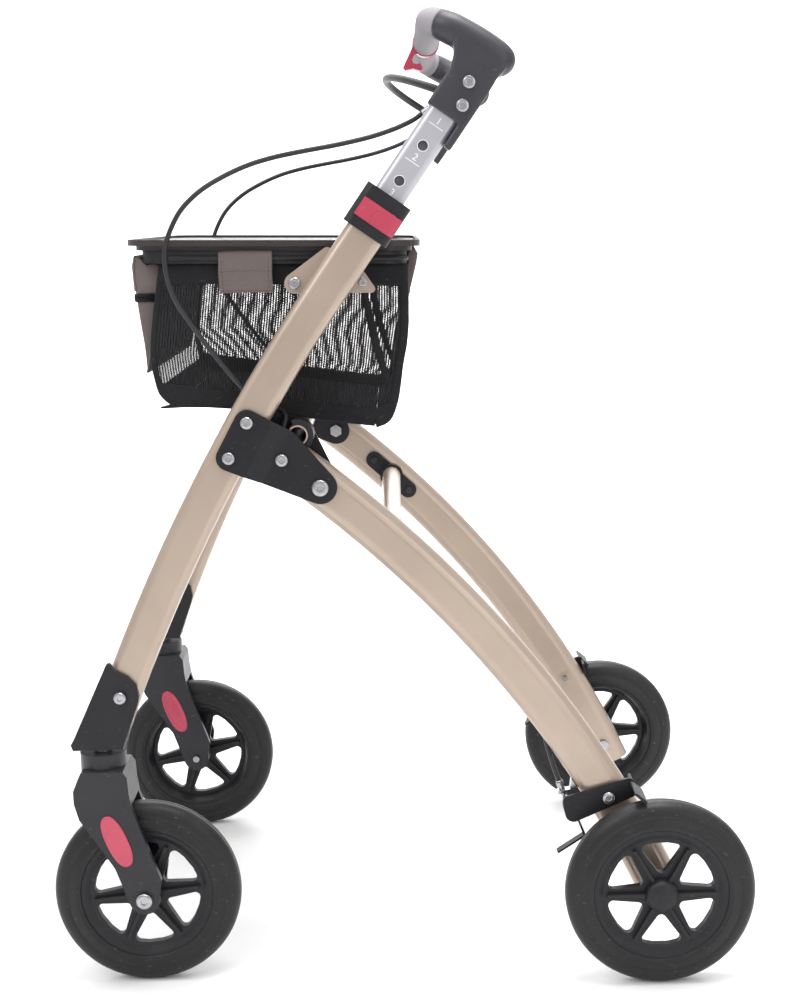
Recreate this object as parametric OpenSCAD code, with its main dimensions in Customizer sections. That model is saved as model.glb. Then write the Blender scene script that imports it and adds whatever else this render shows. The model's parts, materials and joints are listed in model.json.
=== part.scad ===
// Folding four-wheeled walker with a height-adjustable handlebar, one-hand brake bar,
// lift-off tray and basket, swivelling front wheels and forward-folding rear legs.
// Origin: on the floor, midway between the wheels. +Z up, -Y forward, +X the user's left.

/* [Wheels] */
// Outer diameter of every wheel
wheel_d = 190; // [160:1:230]
// Width of the tyre
tyre_w = 30; // [24:1:36]
// Outer diameter of the plastic rim inside the tyre
rim_d = 134; // [120:1:140]
// Distance between the front and rear axles
wheelbase = 518; // [480:1:600]
// Distance between the middles of the rear wheels
rear_track = 514; // [500:1:600]
// Distance between the middles of the front wheels
front_track = 438; // [400:1:440]
// How far the front axle trails behind its steering axis
caster_trail = 38; // [30:1:46]
// Diameter of the wheel axles
axle_d = 8; // [7:0.5:10]

/* [Front frame] */
// Depth of the front tube, front to back
tube_depth = 38.5; // [36:0.5:46]
// Width of the front tube, side to side
tube_w = 27; // [25:0.5:30]
// Wall of the front tube
tube_wall = 1.5; // [1.2:0.1:2]
// Angle of the straight upper part of the front tube above level
tube_angle = 54.3; // [52:0.1:58]
// Bend radius of the lower part of the front tube
tube_bend_r = 1950; // [1600:10:2600]
// Length of the straight part below the height collar's middle
tube_straight = 85; // [60:1:100]

/* [Rear legs] */
// Depth of the oval rear leg
leg_depth = 45; // [38:0.5:48]
// Width of the oval rear leg
leg_w = 26; // [23:0.5:27]
// Wall of the rear leg
leg_wall = 1.8; // [1.4:0.1:2.4]
// Bend radius of the rear leg
leg_bend_r = 1197; // [1000:1:1500]
// Height of the folding pivot above the floor
pivot_z = 509; // [490:1:530]

/* [Handlebar] */
// Depth of the telescoping inner tube
inner_depth = 32; // [29:0.5:33]
// Width of the telescoping inner tube
inner_w = 21; // [19:0.5:22]
// Spacing of the height settings
height_step = 39.5; // [30:0.5:45]
// Diameter of the padded front cross bar
crossbar_d = 27; // [24:0.5:30]
// Diameter of the brake bar
brake_bar_d = 8; // [6:0.5:10]

/* [Tray and basket] */
// Gap between the tray's edge and the front tubes on each side
tray_gap = 11.5; // [8:0.5:30]
// Depth of the tray, front to back
tray_depth = 290; // [250:1:300]
// Height of the basket's bottom at its front
basket_floor_z = 590; // [588:1:640]

/* [Hidden] */

$fn = 64;
ARC_STEP = 12;

// Clearances
run_gap = 0.06;
fit_gap = 0.1;
move_gap = 0.4;

// Main places
wheel_r = wheel_d / 2;
front_y = -wheelbase / 2;
rear_y = wheelbase / 2;
rear_x = rear_track / 2;
tube_x = front_track / 2;
steer_y = front_y - caster_trail;
steer_x = tube_x;

// Upper axis of the front tube: a point at the middle of the height collar and its directions
axis_pt = [-4, 770];
axis_dir = [cos(tube_angle), sin(tube_angle)];
axis_out = [-sin(tube_angle), cos(tube_angle)];
tube_top_s = 17;
bend_pt = axis_pt - tube_straight * axis_dir;
bend_c = bend_pt - tube_bend_r * axis_out;
socket_z = wheel_d + 60;
tube_end_z = socket_z + 26;
tube_end_a = 180 - asin((tube_end_z - bend_c[1]) / tube_bend_r);

function rot2(a) = [cos(a), sin(a)];
function len2(v) = sqrt(v[0] * v[0] + v[1] * v[1]);
function turn(a) = a - 360 * floor(a / 360);
// A point at distance s along the upper axis and n in front of it
function on_axis(s, n) = axis_pt + s * axis_dir + n * axis_out;
function arc(c, r, a0, a1) =
    let (n = max(1, ceil(abs(a1 - a0) / ARC_STEP)))
    [for (i = [0:n]) c + r * rot2(a0 + (a1 - a0) * i / n)];
// Outward direction of the line that touches two circles [y, z, r]
function touch(p, q) =
    atan2(q[1] - p[1], q[0] - p[0])
    - acos((p[2] - q[2]) / len2([q[0] - p[0], q[1] - p[1]]));
// Outline of a belt around circles [y, z, r] listed anticlockwise
function belt(cs) =
    let (k = len(cs))
    [for (i = [0:k - 1])
        let (p = cs[i],
             a0 = touch(cs[(i + k - 1) % k], p),
             a1 = touch(p, cs[(i + 1) % k]))
        each arc([p[0], p[1]], p[2], a0, a0 + turn(a1 - a0))];
// Rounded rectangle, w by h, with corner radius r
function round_rect(w, h, r) =
    belt([[w / 2 - r, -h / 2 + r, r], [w / 2 - r, h / 2 - r, r],
          [-w / 2 + r, h / 2 - r, r], [-w / 2 + r, -h / 2 + r, r]]);

// Side-view outline [y, z] given thickness along X, from x0 to x1
module slab(pts, x0, x1) {
    translate([x0, 0, 0])
        rotate([90, 0, 90])
            linear_extrude(x1 - x0)
                polygon(pts);
}
// Cylinder along X through side-view point p
module rod(p, r, x0, x1) {
    translate([x0, p[0], p[1]])
        rotate([0, 90, 0])
            cylinder(r = r, h = x1 - x0);
}
// Profile [depth, width] swept along the upper axis from s0 to s1, at tube_x
module along_axis(pts, s0, s1) {
    translate([tube_x, on_axis(s0, 0)[0], on_axis(s0, 0)[1]])
        rotate([tube_angle, 0, 0])
            rotate([-90, 0, 0])
                linear_extrude(s1 - s0)
                    polygon([for (p = pts) [p[1], -p[0]]]);
}
// Profile [depth, width] swept round centre c at radius r in the side view, at x
module bend(pts, c, r, a0, a1, x) {
    translate([x, c[0], c[1]])
        rotate([90, 0, 90])
            rotate([0, 0, a0])
                rotate_extrude(angle = a1 - a0, $fn = 360)
                    translate([r, 0])
                        polygon(pts);
}
// Children are modelled on the left and repeated on the right
module both() {
    children();
    mirror([1, 0, 0])
        children();
}
module on_side(side) {
    if (side > 0)
        children();
    else
        mirror([1, 0, 0])
            children();
}
// Button-head screw along X: underside of the head at x, head towards dir
module screw_x(p, x, r, grip, dir) {
    head_r = 2 * r;
    head_h = 1.1 * r;
    difference() {
        union() {
            rod(p, r, dir > 0 ? x - grip : x, dir > 0 ? x : x + grip);
            rod(p, head_r, dir > 0 ? x : x - head_h, dir > 0 ? x + head_h : x);
        }
        translate([dir > 0 ? x + head_h : x - head_h, p[0], p[1]])
            rotate([0, 90, 0])
                cylinder(r = 0.75 * r, h = head_h, center = true, $fn = 6);
    }
}
// Hexagon nut along X with its bore clear of the thread
module nut_x(p, x0, h, r) {
    difference() {
        translate([x0, p[0], p[1]])
            rotate([0, 90, 0])
                cylinder(r = 1.9 * r, h = h, $fn = 6);
        rod(p, r + fit_gap, x0 - 1, x0 + h + 1);
    }
}

// ---- Front frame ----
tube_in_depth = tube_depth - 2 * tube_wall;
tube_in_w = tube_w - 2 * tube_wall;
tube_profile = round_rect(tube_depth, tube_w, 9);
tube_bore = round_rect(tube_in_depth, tube_in_w, 7.5);
tube_out_x = tube_x + tube_w / 2;
tube_in_x = tube_x - tube_w / 2;
socket_screw = on_bend(socket_z + 54);
function on_bend(z) =
    let (a = 180 - asin((z - bend_c[1]) / tube_bend_r))
    bend_c + tube_bend_r * rot2(a);

// Hinge plates
plate_t = 4;
plate_step = 5;
pivot = [-67.5, pivot_z];
plate_a = [pivot[0] - 68.5, pivot_z + 66];
plate_b = [pivot[0] - 87.5, pivot_z + 32];
spacer_p = [pivot[0] - 36.5, pivot_z + 28];
cross_p = [pivot[0] - 20.5, pivot_z + 51];
plate_line_a = 61;
plate_front_x = tube_out_x + 0.2;
plate_rear_x = plate_front_x - plate_step;
plate_in_front_x = tube_in_x - 0.2 - plate_t;
plate_in_rear_x = plate_in_front_x - plate_step;
m6 = 3;
m8 = 4;
cross_r = 10;

// Rear legs
leg_x = (plate_rear_x + plate_in_rear_x + plate_t) / 2;
leg_out_x = leg_x + leg_w / 2;
leg_in_x = leg_x - leg_w / 2;
axle_p = [rear_y, wheel_r];
leg_chord = axle_p - pivot;
leg_half = len2(leg_chord) / 2;
leg_c = (axle_p + pivot) / 2
    + sqrt(leg_bend_r * leg_bend_r - leg_half * leg_half)
    * [leg_chord[1], -leg_chord[0]] / len2(leg_chord);
leg_pivot_a = atan2(pivot[1] - leg_c[1], pivot[0] - leg_c[0]);
leg_axle_a = atan2(axle_p[1] - leg_c[1], axle_p[0] - leg_c[0]);
leg_t = rot2(leg_pivot_a + 90);
leg_m = rot2(leg_pivot_a);
leg_head = 32;
leg_foot = 26;
leg_a1 = leg_pivot_a + leg_head * 180 / PI / leg_bend_r;
leg_a0 = leg_axle_a - leg_foot * 180 / PI / leg_bend_r;
function on_leg(d, off) = leg_c + (leg_bend_r + off) * rot2(leg_axle_a + d * 180 / PI / leg_bend_r);
function at_head(t, m) = pivot + t * leg_t + m * leg_m;
lower_cross_d = 444;
lower_cross = on_leg(lower_cross_d, 1);
flange_pitch = 28;
lower_cross_r = 11;
brake_p = on_leg(102, 0);

module front_tube(side) {
    color([0.76, 0.69, 0.61])
    on_side(side)
    difference() {
        union() {
            along_axis(tube_profile, -tube_straight, tube_top_s);
            bend(tube_profile, bend_c, tube_bend_r, 90 + tube_angle, tube_end_a, tube_x);
        }
        along_axis(tube_bore, -tube_straight - 0.1, tube_top_s + 1);
        bend(tube_bore, bend_c, tube_bend_r, 90 + tube_angle, tube_end_a + 1, tube_x);
        rod(on_axis(button_s, 0), button_pin_r + 0.3, tube_x, tube_out_x + 2);
        for (p = [plate_a, plate_b, socket_screw])
            rod(p, m6 + fit_gap, tube_in_x - 2, tube_out_x + 2);
        for (p = [bracket_a])
            rod(p, m6 + fit_gap, tube_in_x - 2, tube_x);
    }
}

// Height collars, with the opening for the push button on the outside
collar_s0 = -22;
collar_s1 = 21;
collar_depth = tube_depth + 10.3;
collar_w = tube_w + 8;
button_s = -2;
button_h = 20;
button_pin_r = 4.5;
button_travel = 3;
collar_out_x = tube_x + collar_w / 2;
module height_collars() {
    color([0.12, 0.12, 0.13])
    both()
    difference() {
        along_axis(round_rect(collar_depth, collar_w, 8), collar_s0, collar_s1);
        along_axis(round_rect(tube_depth + 2 * fit_gap, tube_w + 2 * fit_gap, 9), collar_s0 - 1, tube_top_s);
        along_axis(round_rect(inner_depth + 1, inner_w + 1, 7), collar_s0, collar_s1 + 1);
        collar_window();
    }
}
module collar_window() {
    along_axis([[collar_depth / 2 - 5, collar_w / 2 + 3], [-collar_depth / 2 - 1, collar_w / 2 + 3],
                [-collar_depth / 2 - 1, tube_w / 2 - 2], [collar_depth / 2 - 5, tube_w / 2 - 2]],
               button_s - button_h / 2, button_s + button_h / 2);
}
module button(side) {
    color([0.80, 0.16, 0.24])
    on_side(side) {
        along_axis([[collar_depth / 2 - 5 - move_gap, collar_w / 2 + 1.8],
                    [-collar_depth / 2 + 6, collar_w / 2 + 1.8],
                    [-collar_depth / 2 + 0.5, collar_w / 2],
                    [-collar_depth / 2 + 0.5, tube_w / 2 + button_travel + 0.4],
                    [collar_depth / 2 - 5 - move_gap, tube_w / 2 + button_travel + 0.4]],
                   button_s - button_h / 2 + move_gap, button_s + button_h / 2 - move_gap);
        rod(on_axis(button_s, 0), button_pin_r,
            tube_x + inner_w / 2 + button_travel + 0.4, tube_out_x + button_travel + 1);
    }
}

// Plates with a step between the front tube and the rear leg
function plate_outline() =
    belt([[plate_b[0], plate_b[1], 12.5], [pivot[0], pivot[1], 16.5],
          [pivot[0] - 33, pivot[1] + 46, 12], [plate_a[0], plate_a[1], 12.5]]);
function inner_outline() =
    belt([[plate_b[0], plate_b[1], 12.5], [pivot[0], pivot[1], 16.5],
          [cross_p[0], cross_p[1], 14], [plate_a[0], plate_a[1], 12.5]]);
module step_profile(x) {
    mid = (plate_a + plate_b) / 2;
    translate([0, mid[0], mid[1]])
        rotate([plate_line_a - 90, 0, 0])
            translate([0, 0, -120])
                linear_extrude(240)
                    polygon([[x, -50], [x, 22], [x - plate_step, 40], [x - plate_step, 150],
                             [x - plate_step + plate_t, 150], [x - plate_step + plate_t, 40],
                             [x + plate_t, 22], [x + plate_t, -50]]);
}
module plate_holes(x0, x1) {
    for (p = [plate_a, plate_b, spacer_p])
        rod(p, m6 + fit_gap, x0, x1);
    rod(pivot, m8 + fit_gap, x0, x1);
}
module hinge_plates_outer() {
    color([0.16, 0.16, 0.17])
    both()
    difference() {
        intersection() {
            slab(plate_outline(), plate_rear_x - 2, plate_front_x + plate_t + 2);
            step_profile(plate_front_x);
        }
        plate_holes(plate_rear_x - 4, plate_front_x + plate_t + 4);
    }
}
module hinge_plates_inner() {
    color([0.13, 0.13, 0.14])
    both()
    difference() {
        intersection() {
            slab(inner_outline(), plate_in_rear_x - 2, plate_in_front_x + plate_t + 2);
            step_profile(plate_in_front_x);
        }
        plate_holes(plate_in_rear_x - 4, plate_in_front_x + plate_t + 4);
        rod(cross_p, cross_r + fit_gap, plate_in_rear_x - 4, plate_in_front_x + plate_t + 4);
    }
}
module upper_cross_tube() {
    color([0.76, 0.69, 0.61])
    difference() {
        rod(cross_p, cross_r, -leg_out_x + 1, leg_out_x - 1);
        rod(cross_p, cross_r - 1.5, -leg_out_x, leg_out_x);
    }
}
module plate_spacers() {
    color([0.62, 0.63, 0.65])
    both()
    difference() {
        rod(spacer_p, 5.4, plate_in_rear_x + plate_t + fit_gap, plate_rear_x - fit_gap);
        rod(spacer_p, m6 + fit_gap, plate_in_rear_x, plate_rear_x + 1);
    }
}

// Sockets that join the front tubes to the caster stems
stem_r = 6;
socket_w = tube_w + 8;
module caster_sockets() {
    z0 = socket_z;
    y0 = steer_y;
    color([0.13, 0.13, 0.14])
    both()
    difference() {
        slab([[y0 - 27, z0], [y0 + 23, z0], [y0 + 24, z0 + 4], [y0 + 40, z0 + 46], [y0 + 42, z0 + 54],
              [y0 + 40, z0 + 66], [y0 + 32, z0 + 75], [y0 + 18, z0 + 83], [y0 + 14, z0 + 89],
              [y0 + 11, z0 + 88], [y0 - 26, z0 + 11], [y0 - 29, z0 + 6]],
             tube_x - socket_w / 2, tube_x + socket_w / 2);
        bend(round_rect(tube_depth + 2 * fit_gap, tube_w + 2 * fit_gap, 9),
             bend_c, tube_bend_r, 90 + tube_angle, tube_end_a, tube_x);
        translate([tube_x - socket_w, y0 - 10, z0 + 79])
            cube([socket_w + tube_w / 2 - 2, 60, 20]);
        rod(socket_screw, m6 + fit_gap, tube_in_x - 12, tube_out_x + 12);
        translate([steer_x, steer_y, z0 - 1])
            cylinder(r = stem_r, h = 19);
    }
}
module caster_stems() {
    color([0.78, 0.79, 0.80])
    both()
    translate([steer_x, steer_y, 0]) {
        translate([0, 0, socket_z - 44])
            cylinder(r = stem_r, h = 62);
        translate([0, 0, socket_z - 5 + move_gap])
            cylinder(r = 9, h = 5 - move_gap);
    }
}

// Main places of the tray and basket, which lean back a little
basket_top_z = 737;
tray_half_w = tube_in_x - tray_gap;
basket_half_w = tray_half_w - 9;
tray_y1 = 36.5;
tray_y0 = tray_y1 - tray_depth;
tray_mid = tray_y1 - 145;
tray_tilt = 1.6;
rim_h = 12;
module leaning() {
    translate([0, tray_mid, basket_top_z])
        rotate([-tray_tilt, 0, 0])
            children();
}

// Tray brackets on the inner faces of the front tubes, each with a ledge for the basket's frame
bracket_t = 3;
bracket_x = tube_in_x - fit_gap - bracket_t;
bracket_a = on_axis(-74, -2);
bracket_front = [-86.5, 706];
bracket_rear = [-20.5, 705.5];
small_screw = 2.2;
module tray_brackets() {
    color([0.76, 0.69, 0.61])
    both()
    union() {
        difference() {
            slab(belt([[bracket_front[0], bracket_front[1], 10], [-12, 698.5, 3.5],
                       [-24, 710.5, 7], [-54, 735, 5]]),
                 bracket_x, bracket_x + bracket_t);
            for (p = [bracket_front, bracket_a])
                rod(p, m6 + fit_gap, bracket_x - 4, bracket_x + bracket_t + 4);
            rod(bracket_rear, small_screw + fit_gap, bracket_x - 4, bracket_x + bracket_t + 4);
        }
        leaning()
        translate([basket_half_w - 1, 44, -rim_h - 2.8])
            cube([bracket_x - basket_half_w + 1.1, 40, 2.5]);
    }
}
module frame_screws() {
    color([0.80, 0.81, 0.82])
    both() {
        for (p = [plate_a, plate_b])
            screw_x(p, plate_front_x + plate_t, m6, tube_w + 2 * plate_t + 4, 1);
        screw_x(spacer_p, plate_rear_x + plate_t, m6, leg_w + 2 * plate_t + 6, 1);
        screw_x(socket_screw, tube_x + socket_w / 2, m6, socket_w, 1);
        screw_x(bracket_a, bracket_x, m6, bracket_t + 2.5, -1);
        screw_x(bracket_front, bracket_x + bracket_t, m6, bracket_t + 1, 1);
        screw_x(bracket_rear, bracket_x + bracket_t, small_screw, bracket_t + 1, 1);
    }
}
module frame_nuts() {
    color([0.70, 0.71, 0.72])
    both() {
        for (p = [plate_a, plate_b])
            nut_x(p, plate_in_front_x - 4.1, 4, m6);
        nut_x(spacer_p, plate_in_rear_x - 4.1, 4, m6);
        nut_x(pivot, plate_in_rear_x - 5.1, 5, m8);
    }
}
module pivot_bolts() {
    color([0.82, 0.83, 0.84])
    both()
    screw_x(pivot, plate_rear_x + plate_t, m8, leg_w + 2 * plate_t + 8, 1);
}

// ---- Handlebar ----
grip_r = 15;
bar_p = [50.5, 948];
grip_a = [72, 938.5];
grip_b = [116.5, 908.5];
house_w = 32;
house_s = 112;
tail_s = 87;
inner_s0 = -112;
inner_s1 = 150;
handle_screw_a = on_axis(148.5, -3);
handle_screw_b = on_axis(127.5, -10);
bar_pivot = [60, 884];
module handle_tubes() {
    color([0.80, 0.81, 0.83])
    both()
    difference() {
        along_axis(round_rect(inner_depth, inner_w, 7), inner_s0, inner_s1);
        along_axis(round_rect(inner_depth - 3, inner_w - 3, 5.5), inner_s0 - 1, inner_s1 + 1);
        for (i = [-2:2])
            rod(on_axis(button_s + i * height_step, 0), button_pin_r + 0.5, tube_x, tube_x + inner_w);
        for (p = [handle_screw_a, handle_screw_b])
            rod(p, m6 + fit_gap, tube_x - inner_w, tube_x + inner_w);
    }
}
module handle(side) {
    color([0.16, 0.16, 0.18])
    on_side(side)
    difference() {
        union() {
            slab([on_axis(house_s, 19), on_axis(house_s, -15.8), on_axis(tail_s, -16.4),
                  on_axis(tail_s, -24), on_axis(150, -24), [114, 891], [125, 899], [117, 912], [92, 930],
                  [74, 938], [72, 925], [72, 916], on_axis(150, 19)],
                 tube_x - house_w / 2, tube_x + house_w / 2);
            hull() {
                translate([tube_x, grip_a[0], grip_a[1]]) sphere(r = grip_r - 0.5, $fn = 32);
                translate([tube_x, grip_b[0], grip_b[1]]) sphere(r = grip_r + 0.5, $fn = 32);
            }
            hull() {
                translate([tube_x, grip_a[0], grip_a[1]]) sphere(r = grip_r - 0.5, $fn = 32);
                translate([tube_x - 16, bar_p[0] + 5, bar_p[1] - 1])
                    rotate([0, -60, 0])
                        cylinder(r = crossbar_d / 2 + 0.5, h = 4, center = true, $fn = 32);
            }
        }
        along_axis(round_rect(inner_depth + 2 * fit_gap, inner_w + 2 * fit_gap, 7),
                   tail_s - 30, inner_s1 + fit_gap);
        for (p = [handle_screw_a, handle_screw_b])
            rod(p, m6 + fit_gap, tube_x - house_w, tube_x + house_w);
        rod(bar_pivot, 4.2 + fit_gap, tube_x - house_w, tube_x - house_w / 2 + 6.2);
        rod(bar_p, 10 + fit_gap, 0, tube_x - 10);
        rod(bar_p, crossbar_d, 0, tube_x - 22);
    }
}
module crossbar_core() {
    color([0.62, 0.63, 0.65])
    difference() {
        rod(bar_p, 10, -tube_x + 10.2, tube_x - 10.2);
        rod(bar_p, 8.4, -tube_x, tube_x);
    }
}
hook_w = 18;
module crossbar_sleeve() {
    color([0.24, 0.24, 0.26])
    both()
    difference() {
        rod(bar_p, crossbar_d / 2, hook_w / 2 + move_gap, tube_x - 22.3);
        rod(bar_p, 10 + fit_gap, 0, tube_x);
    }
}
module handle_screws() {
    color([0.80, 0.81, 0.82])
    both()
    for (p = [handle_screw_a, handle_screw_b])
        screw_x(p, tube_x + house_w / 2, m6, house_w - 2, 1);
}
ferrule_p = on_axis(house_s, 14);
module cable_ferrules() {
    color([0.75, 0.76, 0.77])
    both()
    translate([tube_x - house_w / 2 + 3, ferrule_p[0], ferrule_p[1]])
        rotate([124, 0, 0])
            translate([0, 0, 1.8])
                union() {
                    cylinder(r = 3.6, h = 4);
                    translate([0, 0, 4])
                        cylinder(r = 2.8, h = 4);
                }
}

// Brake bar: a rod bent to an arc in a plane that rises forward from its two pivots
bar_rise = [7, 911];
bar_half = tube_x - house_w / 2 - 3.5;
bar_tilt = atan2(bar_rise[1] - bar_pivot[1], bar_pivot[0] - bar_rise[0]);
bar_reach = len2(bar_rise - bar_pivot);
bar_curve_r = (bar_half * bar_half + bar_reach * bar_reach) / (2 * bar_reach);
bar_curve_a = asin(bar_half / bar_curve_r);
module brake_bar() {
    br = brake_bar_d / 2;
    color([0.07, 0.07, 0.08])
    difference() {
        union() {
            translate([0, bar_pivot[0], bar_pivot[1]])
                rotate([-bar_tilt, 0, 0])
                    translate([0, bar_curve_r - bar_reach, 0])
                        rotate([0, 0, -90 - bar_curve_a])
                            rotate_extrude(angle = 2 * bar_curve_a, $fn = 180)
                                translate([bar_curve_r, 0])
                                    circle(r = br, $fn = 24);
            both()
            rod(bar_pivot, br + 2, bar_half - 6, bar_half + 3);
        }
        both()
        rod(bar_pivot, 2.5 + run_gap, bar_half - 7, bar_half + 4);
    }
}
module brake_bar_pins() {
    color([0.70, 0.71, 0.72])
    both() {
        rod(bar_pivot, 2.5, bar_half - 6, bar_half + 3.4);
        rod(bar_pivot, 4.2, bar_half + 3.4, tube_x - house_w / 2 + 5);
    }
}
module lock_hook() {
    ring_r = crossbar_d / 2 + 1;
    color([0.70, 0.12, 0.17])
    difference() {
        union() {
            rod(bar_p, ring_r, -hook_w / 2, hook_w / 2);
            slab([bar_p + [-12.5, 4], bar_p + [-15.5, -6], bar_p + [-25, -25], bar_p + [-23, -28],
                  bar_p + [-14, -26.5], bar_p + [-6, -29], bar_p + [-4, -26], bar_p + [-6.5, -21],
                  bar_p + [-10, -22], bar_p + [-14, -21], bar_p + [-15.5, -17], bar_p + [-13.5, -13],
                  bar_p + [-8, -9]],
                 -hook_w / 2, hook_w / 2);
        }
        rod(bar_p, 10 + run_gap, -hook_w, hook_w);
    }
}

// ---- Rear legs ----
leg_profile = round_rect(leg_depth, leg_w, leg_w / 2 - 0.2);
leg_bore = round_rect(leg_depth - 2 * leg_wall, leg_w - 2 * leg_wall, leg_w / 2 - leg_wall - 0.2);
module rear_leg(side) {
    color([0.76, 0.69, 0.61])
    on_side(side)
    difference() {
        bend(leg_profile, leg_c, leg_bend_r, leg_a0, leg_a1, leg_x);
        bend(leg_bore, leg_c, leg_bend_r, leg_a0 - 1, leg_a1 + 1, leg_x);
        rod(pivot, m8 + run_gap, leg_in_x - 2, leg_out_x + 2);
        rod(axle_p, axle_d / 2 + fit_gap, leg_in_x - 2, leg_out_x + 2);
        rod(brake_p, m6 + fit_gap, leg_in_x - 2, leg_out_x + 2);
        rod(lower_cross, lower_cross_r + fit_gap, leg_in_x - 2, leg_x);
        for (d = [-1, 1])
            rod(on_leg(lower_cross_d + flange_pitch * d, 1), m6 + fit_gap - 1, leg_in_x - 2, leg_x);
        slab([on_leg(cable_slot[0], -30), on_leg(cable_slot[0], -14), on_leg(cable_slot[1], -14), on_leg(cable_slot[1], -30)],
             leg_x - 3.3, leg_x + 3.3);
    }
}
// Saddles on the heads of the legs rest on the upper cross tube when the walker is open
module leg_saddles() {
    w = leg_w / 2 - 2;
    t0 = leg_head + 0.95;
    color([0.09, 0.09, 0.10])
    both()
    union() {
        slab(concat(arc(cross_p, cross_r + 5.5, -75, 112), arc(cross_p, cross_r + move_gap, 112, -75)),
             leg_x - w, leg_x + w);
        slab([at_head(t0, -7), at_head(t0 + 4, -7), at_head(t0 + 4, 19), at_head(t0 + 2, 22.5),
              at_head(t0, 22.5)], leg_x - w, leg_x + w);
    }
}
module lower_cross_tube() {
    color([0.76, 0.69, 0.61])
    difference() {
        rod(lower_cross, lower_cross_r, -leg_in_x - 3, leg_in_x + 3);
        rod(lower_cross, lower_cross_r - 1.5, -leg_in_x - 4, leg_in_x + 4);
    }
}
module cross_flanges() {
    color([0.13, 0.13, 0.14])
    both()
    difference() {
        union() {
            slab(belt([concat(on_leg(lower_cross_d + flange_pitch, 1), 10), concat(on_leg(lower_cross_d - flange_pitch, 1), 10)]),
                 leg_in_x - 4.1, leg_in_x - 0.1);
            rod(lower_cross, lower_cross_r + 3, leg_in_x - 11, leg_in_x - 0.1);
        }
        rod(lower_cross, lower_cross_r + fit_gap, leg_in_x - 12, leg_in_x + 1);
        for (d = [-1, 1])
            rod(on_leg(lower_cross_d + flange_pitch * d, 1), m6 - 1 + fit_gap, leg_in_x - 12, leg_in_x + 1);
    }
}
module flange_screws() {
    color([0.20, 0.20, 0.21])
    both()
    for (d = [-1, 1])
        screw_x(on_leg(lower_cross_d + flange_pitch * d, 1), leg_in_x - 4.1, m6 - 1, 8, -1);
}

// Brake hardware at the rear
arm_t = 3;
arm_out_x = leg_out_x + 2;
shoe_gap = 1.5;
module brake_pivots() {
    color([0.80, 0.81, 0.82])
    both()
    screw_x(brake_p, arm_out_x + arm_t + 0.3, m6, leg_w + 2 * arm_t + 6, 1);
}
// An arm outside the leg whose ends fold in across the leg's front and back
module brake_arm(side) {
    outline = belt([[brake_p[0] - 35, brake_p[1] - 17, 8.5], [brake_p[0] + 23, brake_p[1] + 4, 5],
                    [brake_p[0] + 21, brake_p[1] + 14, 5], [brake_p[0] - 39, brake_p[1] - 5, 7]]);
    color([0.10, 0.10, 0.11])
    on_side(side)
    difference() {
        union() {
            slab(outline, arm_out_x, arm_out_x + arm_t);
            slab(belt([[brake_p[0] - 42.2, brake_p[1] - 17, 1.5], [brake_p[0] - 42.2, brake_p[1] - 6, 1.5]]),
                 leg_x - 7, arm_out_x + 1);
            slab(belt([[brake_p[0] + 26.4, brake_p[1] + 4, 1.5], [brake_p[0] + 24.4, brake_p[1] + 14, 1.5]]),
                 leg_x - 7, arm_out_x + 1);
        }
        rod(brake_p, m6 + run_gap, arm_out_x - 2, arm_out_x + arm_t + 2);
    }
}
// Steel plate that presses on the tyre, and the sprung foot strip under the arm
module brake_shoe(side) {
    x0 = arm_out_x + arm_t + fit_gap;
    tip = axle_p + (wheel_r + shoe_gap + 1.6) * rot2(99);
    color([0.74, 0.75, 0.76])
    on_side(side) {
        slab(belt([[brake_p[0] + 23, brake_p[1] + 15, 1.5], [tip[0], tip[1], 1.5]]), x0, rear_x + tyre_w / 2 - 3);
        slab([brake_p + [-31, -26], brake_p + [-29, -26.4], brake_p + [-21.5, -45], brake_p + [-23, -47],
              brake_p + [-50, -64], brake_p + [-51, -62.4], brake_p + [-24, -45]],
             leg_x - 5, leg_x + 5);
    }
}
// Adjusters, tilted to meet the cables where they leave the legs
cable_slot = [156, 206];
barrel_p = brake_p + [-43, -2];
barrel_tilt = 19;
module barrel_turn() {
    translate([leg_x, barrel_p[0], barrel_p[1]])
        rotate([barrel_tilt, 0, 0])
            children();
}
module cable_stops() {
    foot = on_leg(122, -leg_depth / 2 - 0.1);
    head = on_leg(134, -leg_depth / 2 - 0.1);
    color([0.70, 0.71, 0.72])
    both()
    difference() {
        slab([barrel_p + [-6, 1.5], barrel_p + [6, 3.5], foot, head, barrel_p + [6, 6.5], barrel_p + [-7, 4.5]],
             leg_x - 5, leg_x + 5);
        barrel_turn()
        translate([0, 0, -10])
            cylinder(r = 3.1, h = 40);
    }
}
module barrel_adjusters() {
    color([0.82, 0.83, 0.84])
    both()
    barrel_turn() {
        cylinder(r = 3, h = 16);
        translate([0, 0, 10])
            cylinder(r = 4.6, h = 4, $fn = 6);
    }
}
module rear_axles() {
    color([0.80, 0.81, 0.82])
    both() {
        rod(axle_p, axle_d / 2, leg_in_x - 5, rear_x + tyre_w / 2 + 1);
        difference() {
            union() {
                rod(axle_p, 7, leg_out_x + 0.1, rear_x - tyre_w / 2 - move_gap);
                rod(axle_p, 6.5, leg_in_x - 4.6, leg_in_x - 0.1);
            }
            rod(axle_p, axle_d / 2, leg_in_x - 6, rear_x);
        }
    }
}

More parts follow.
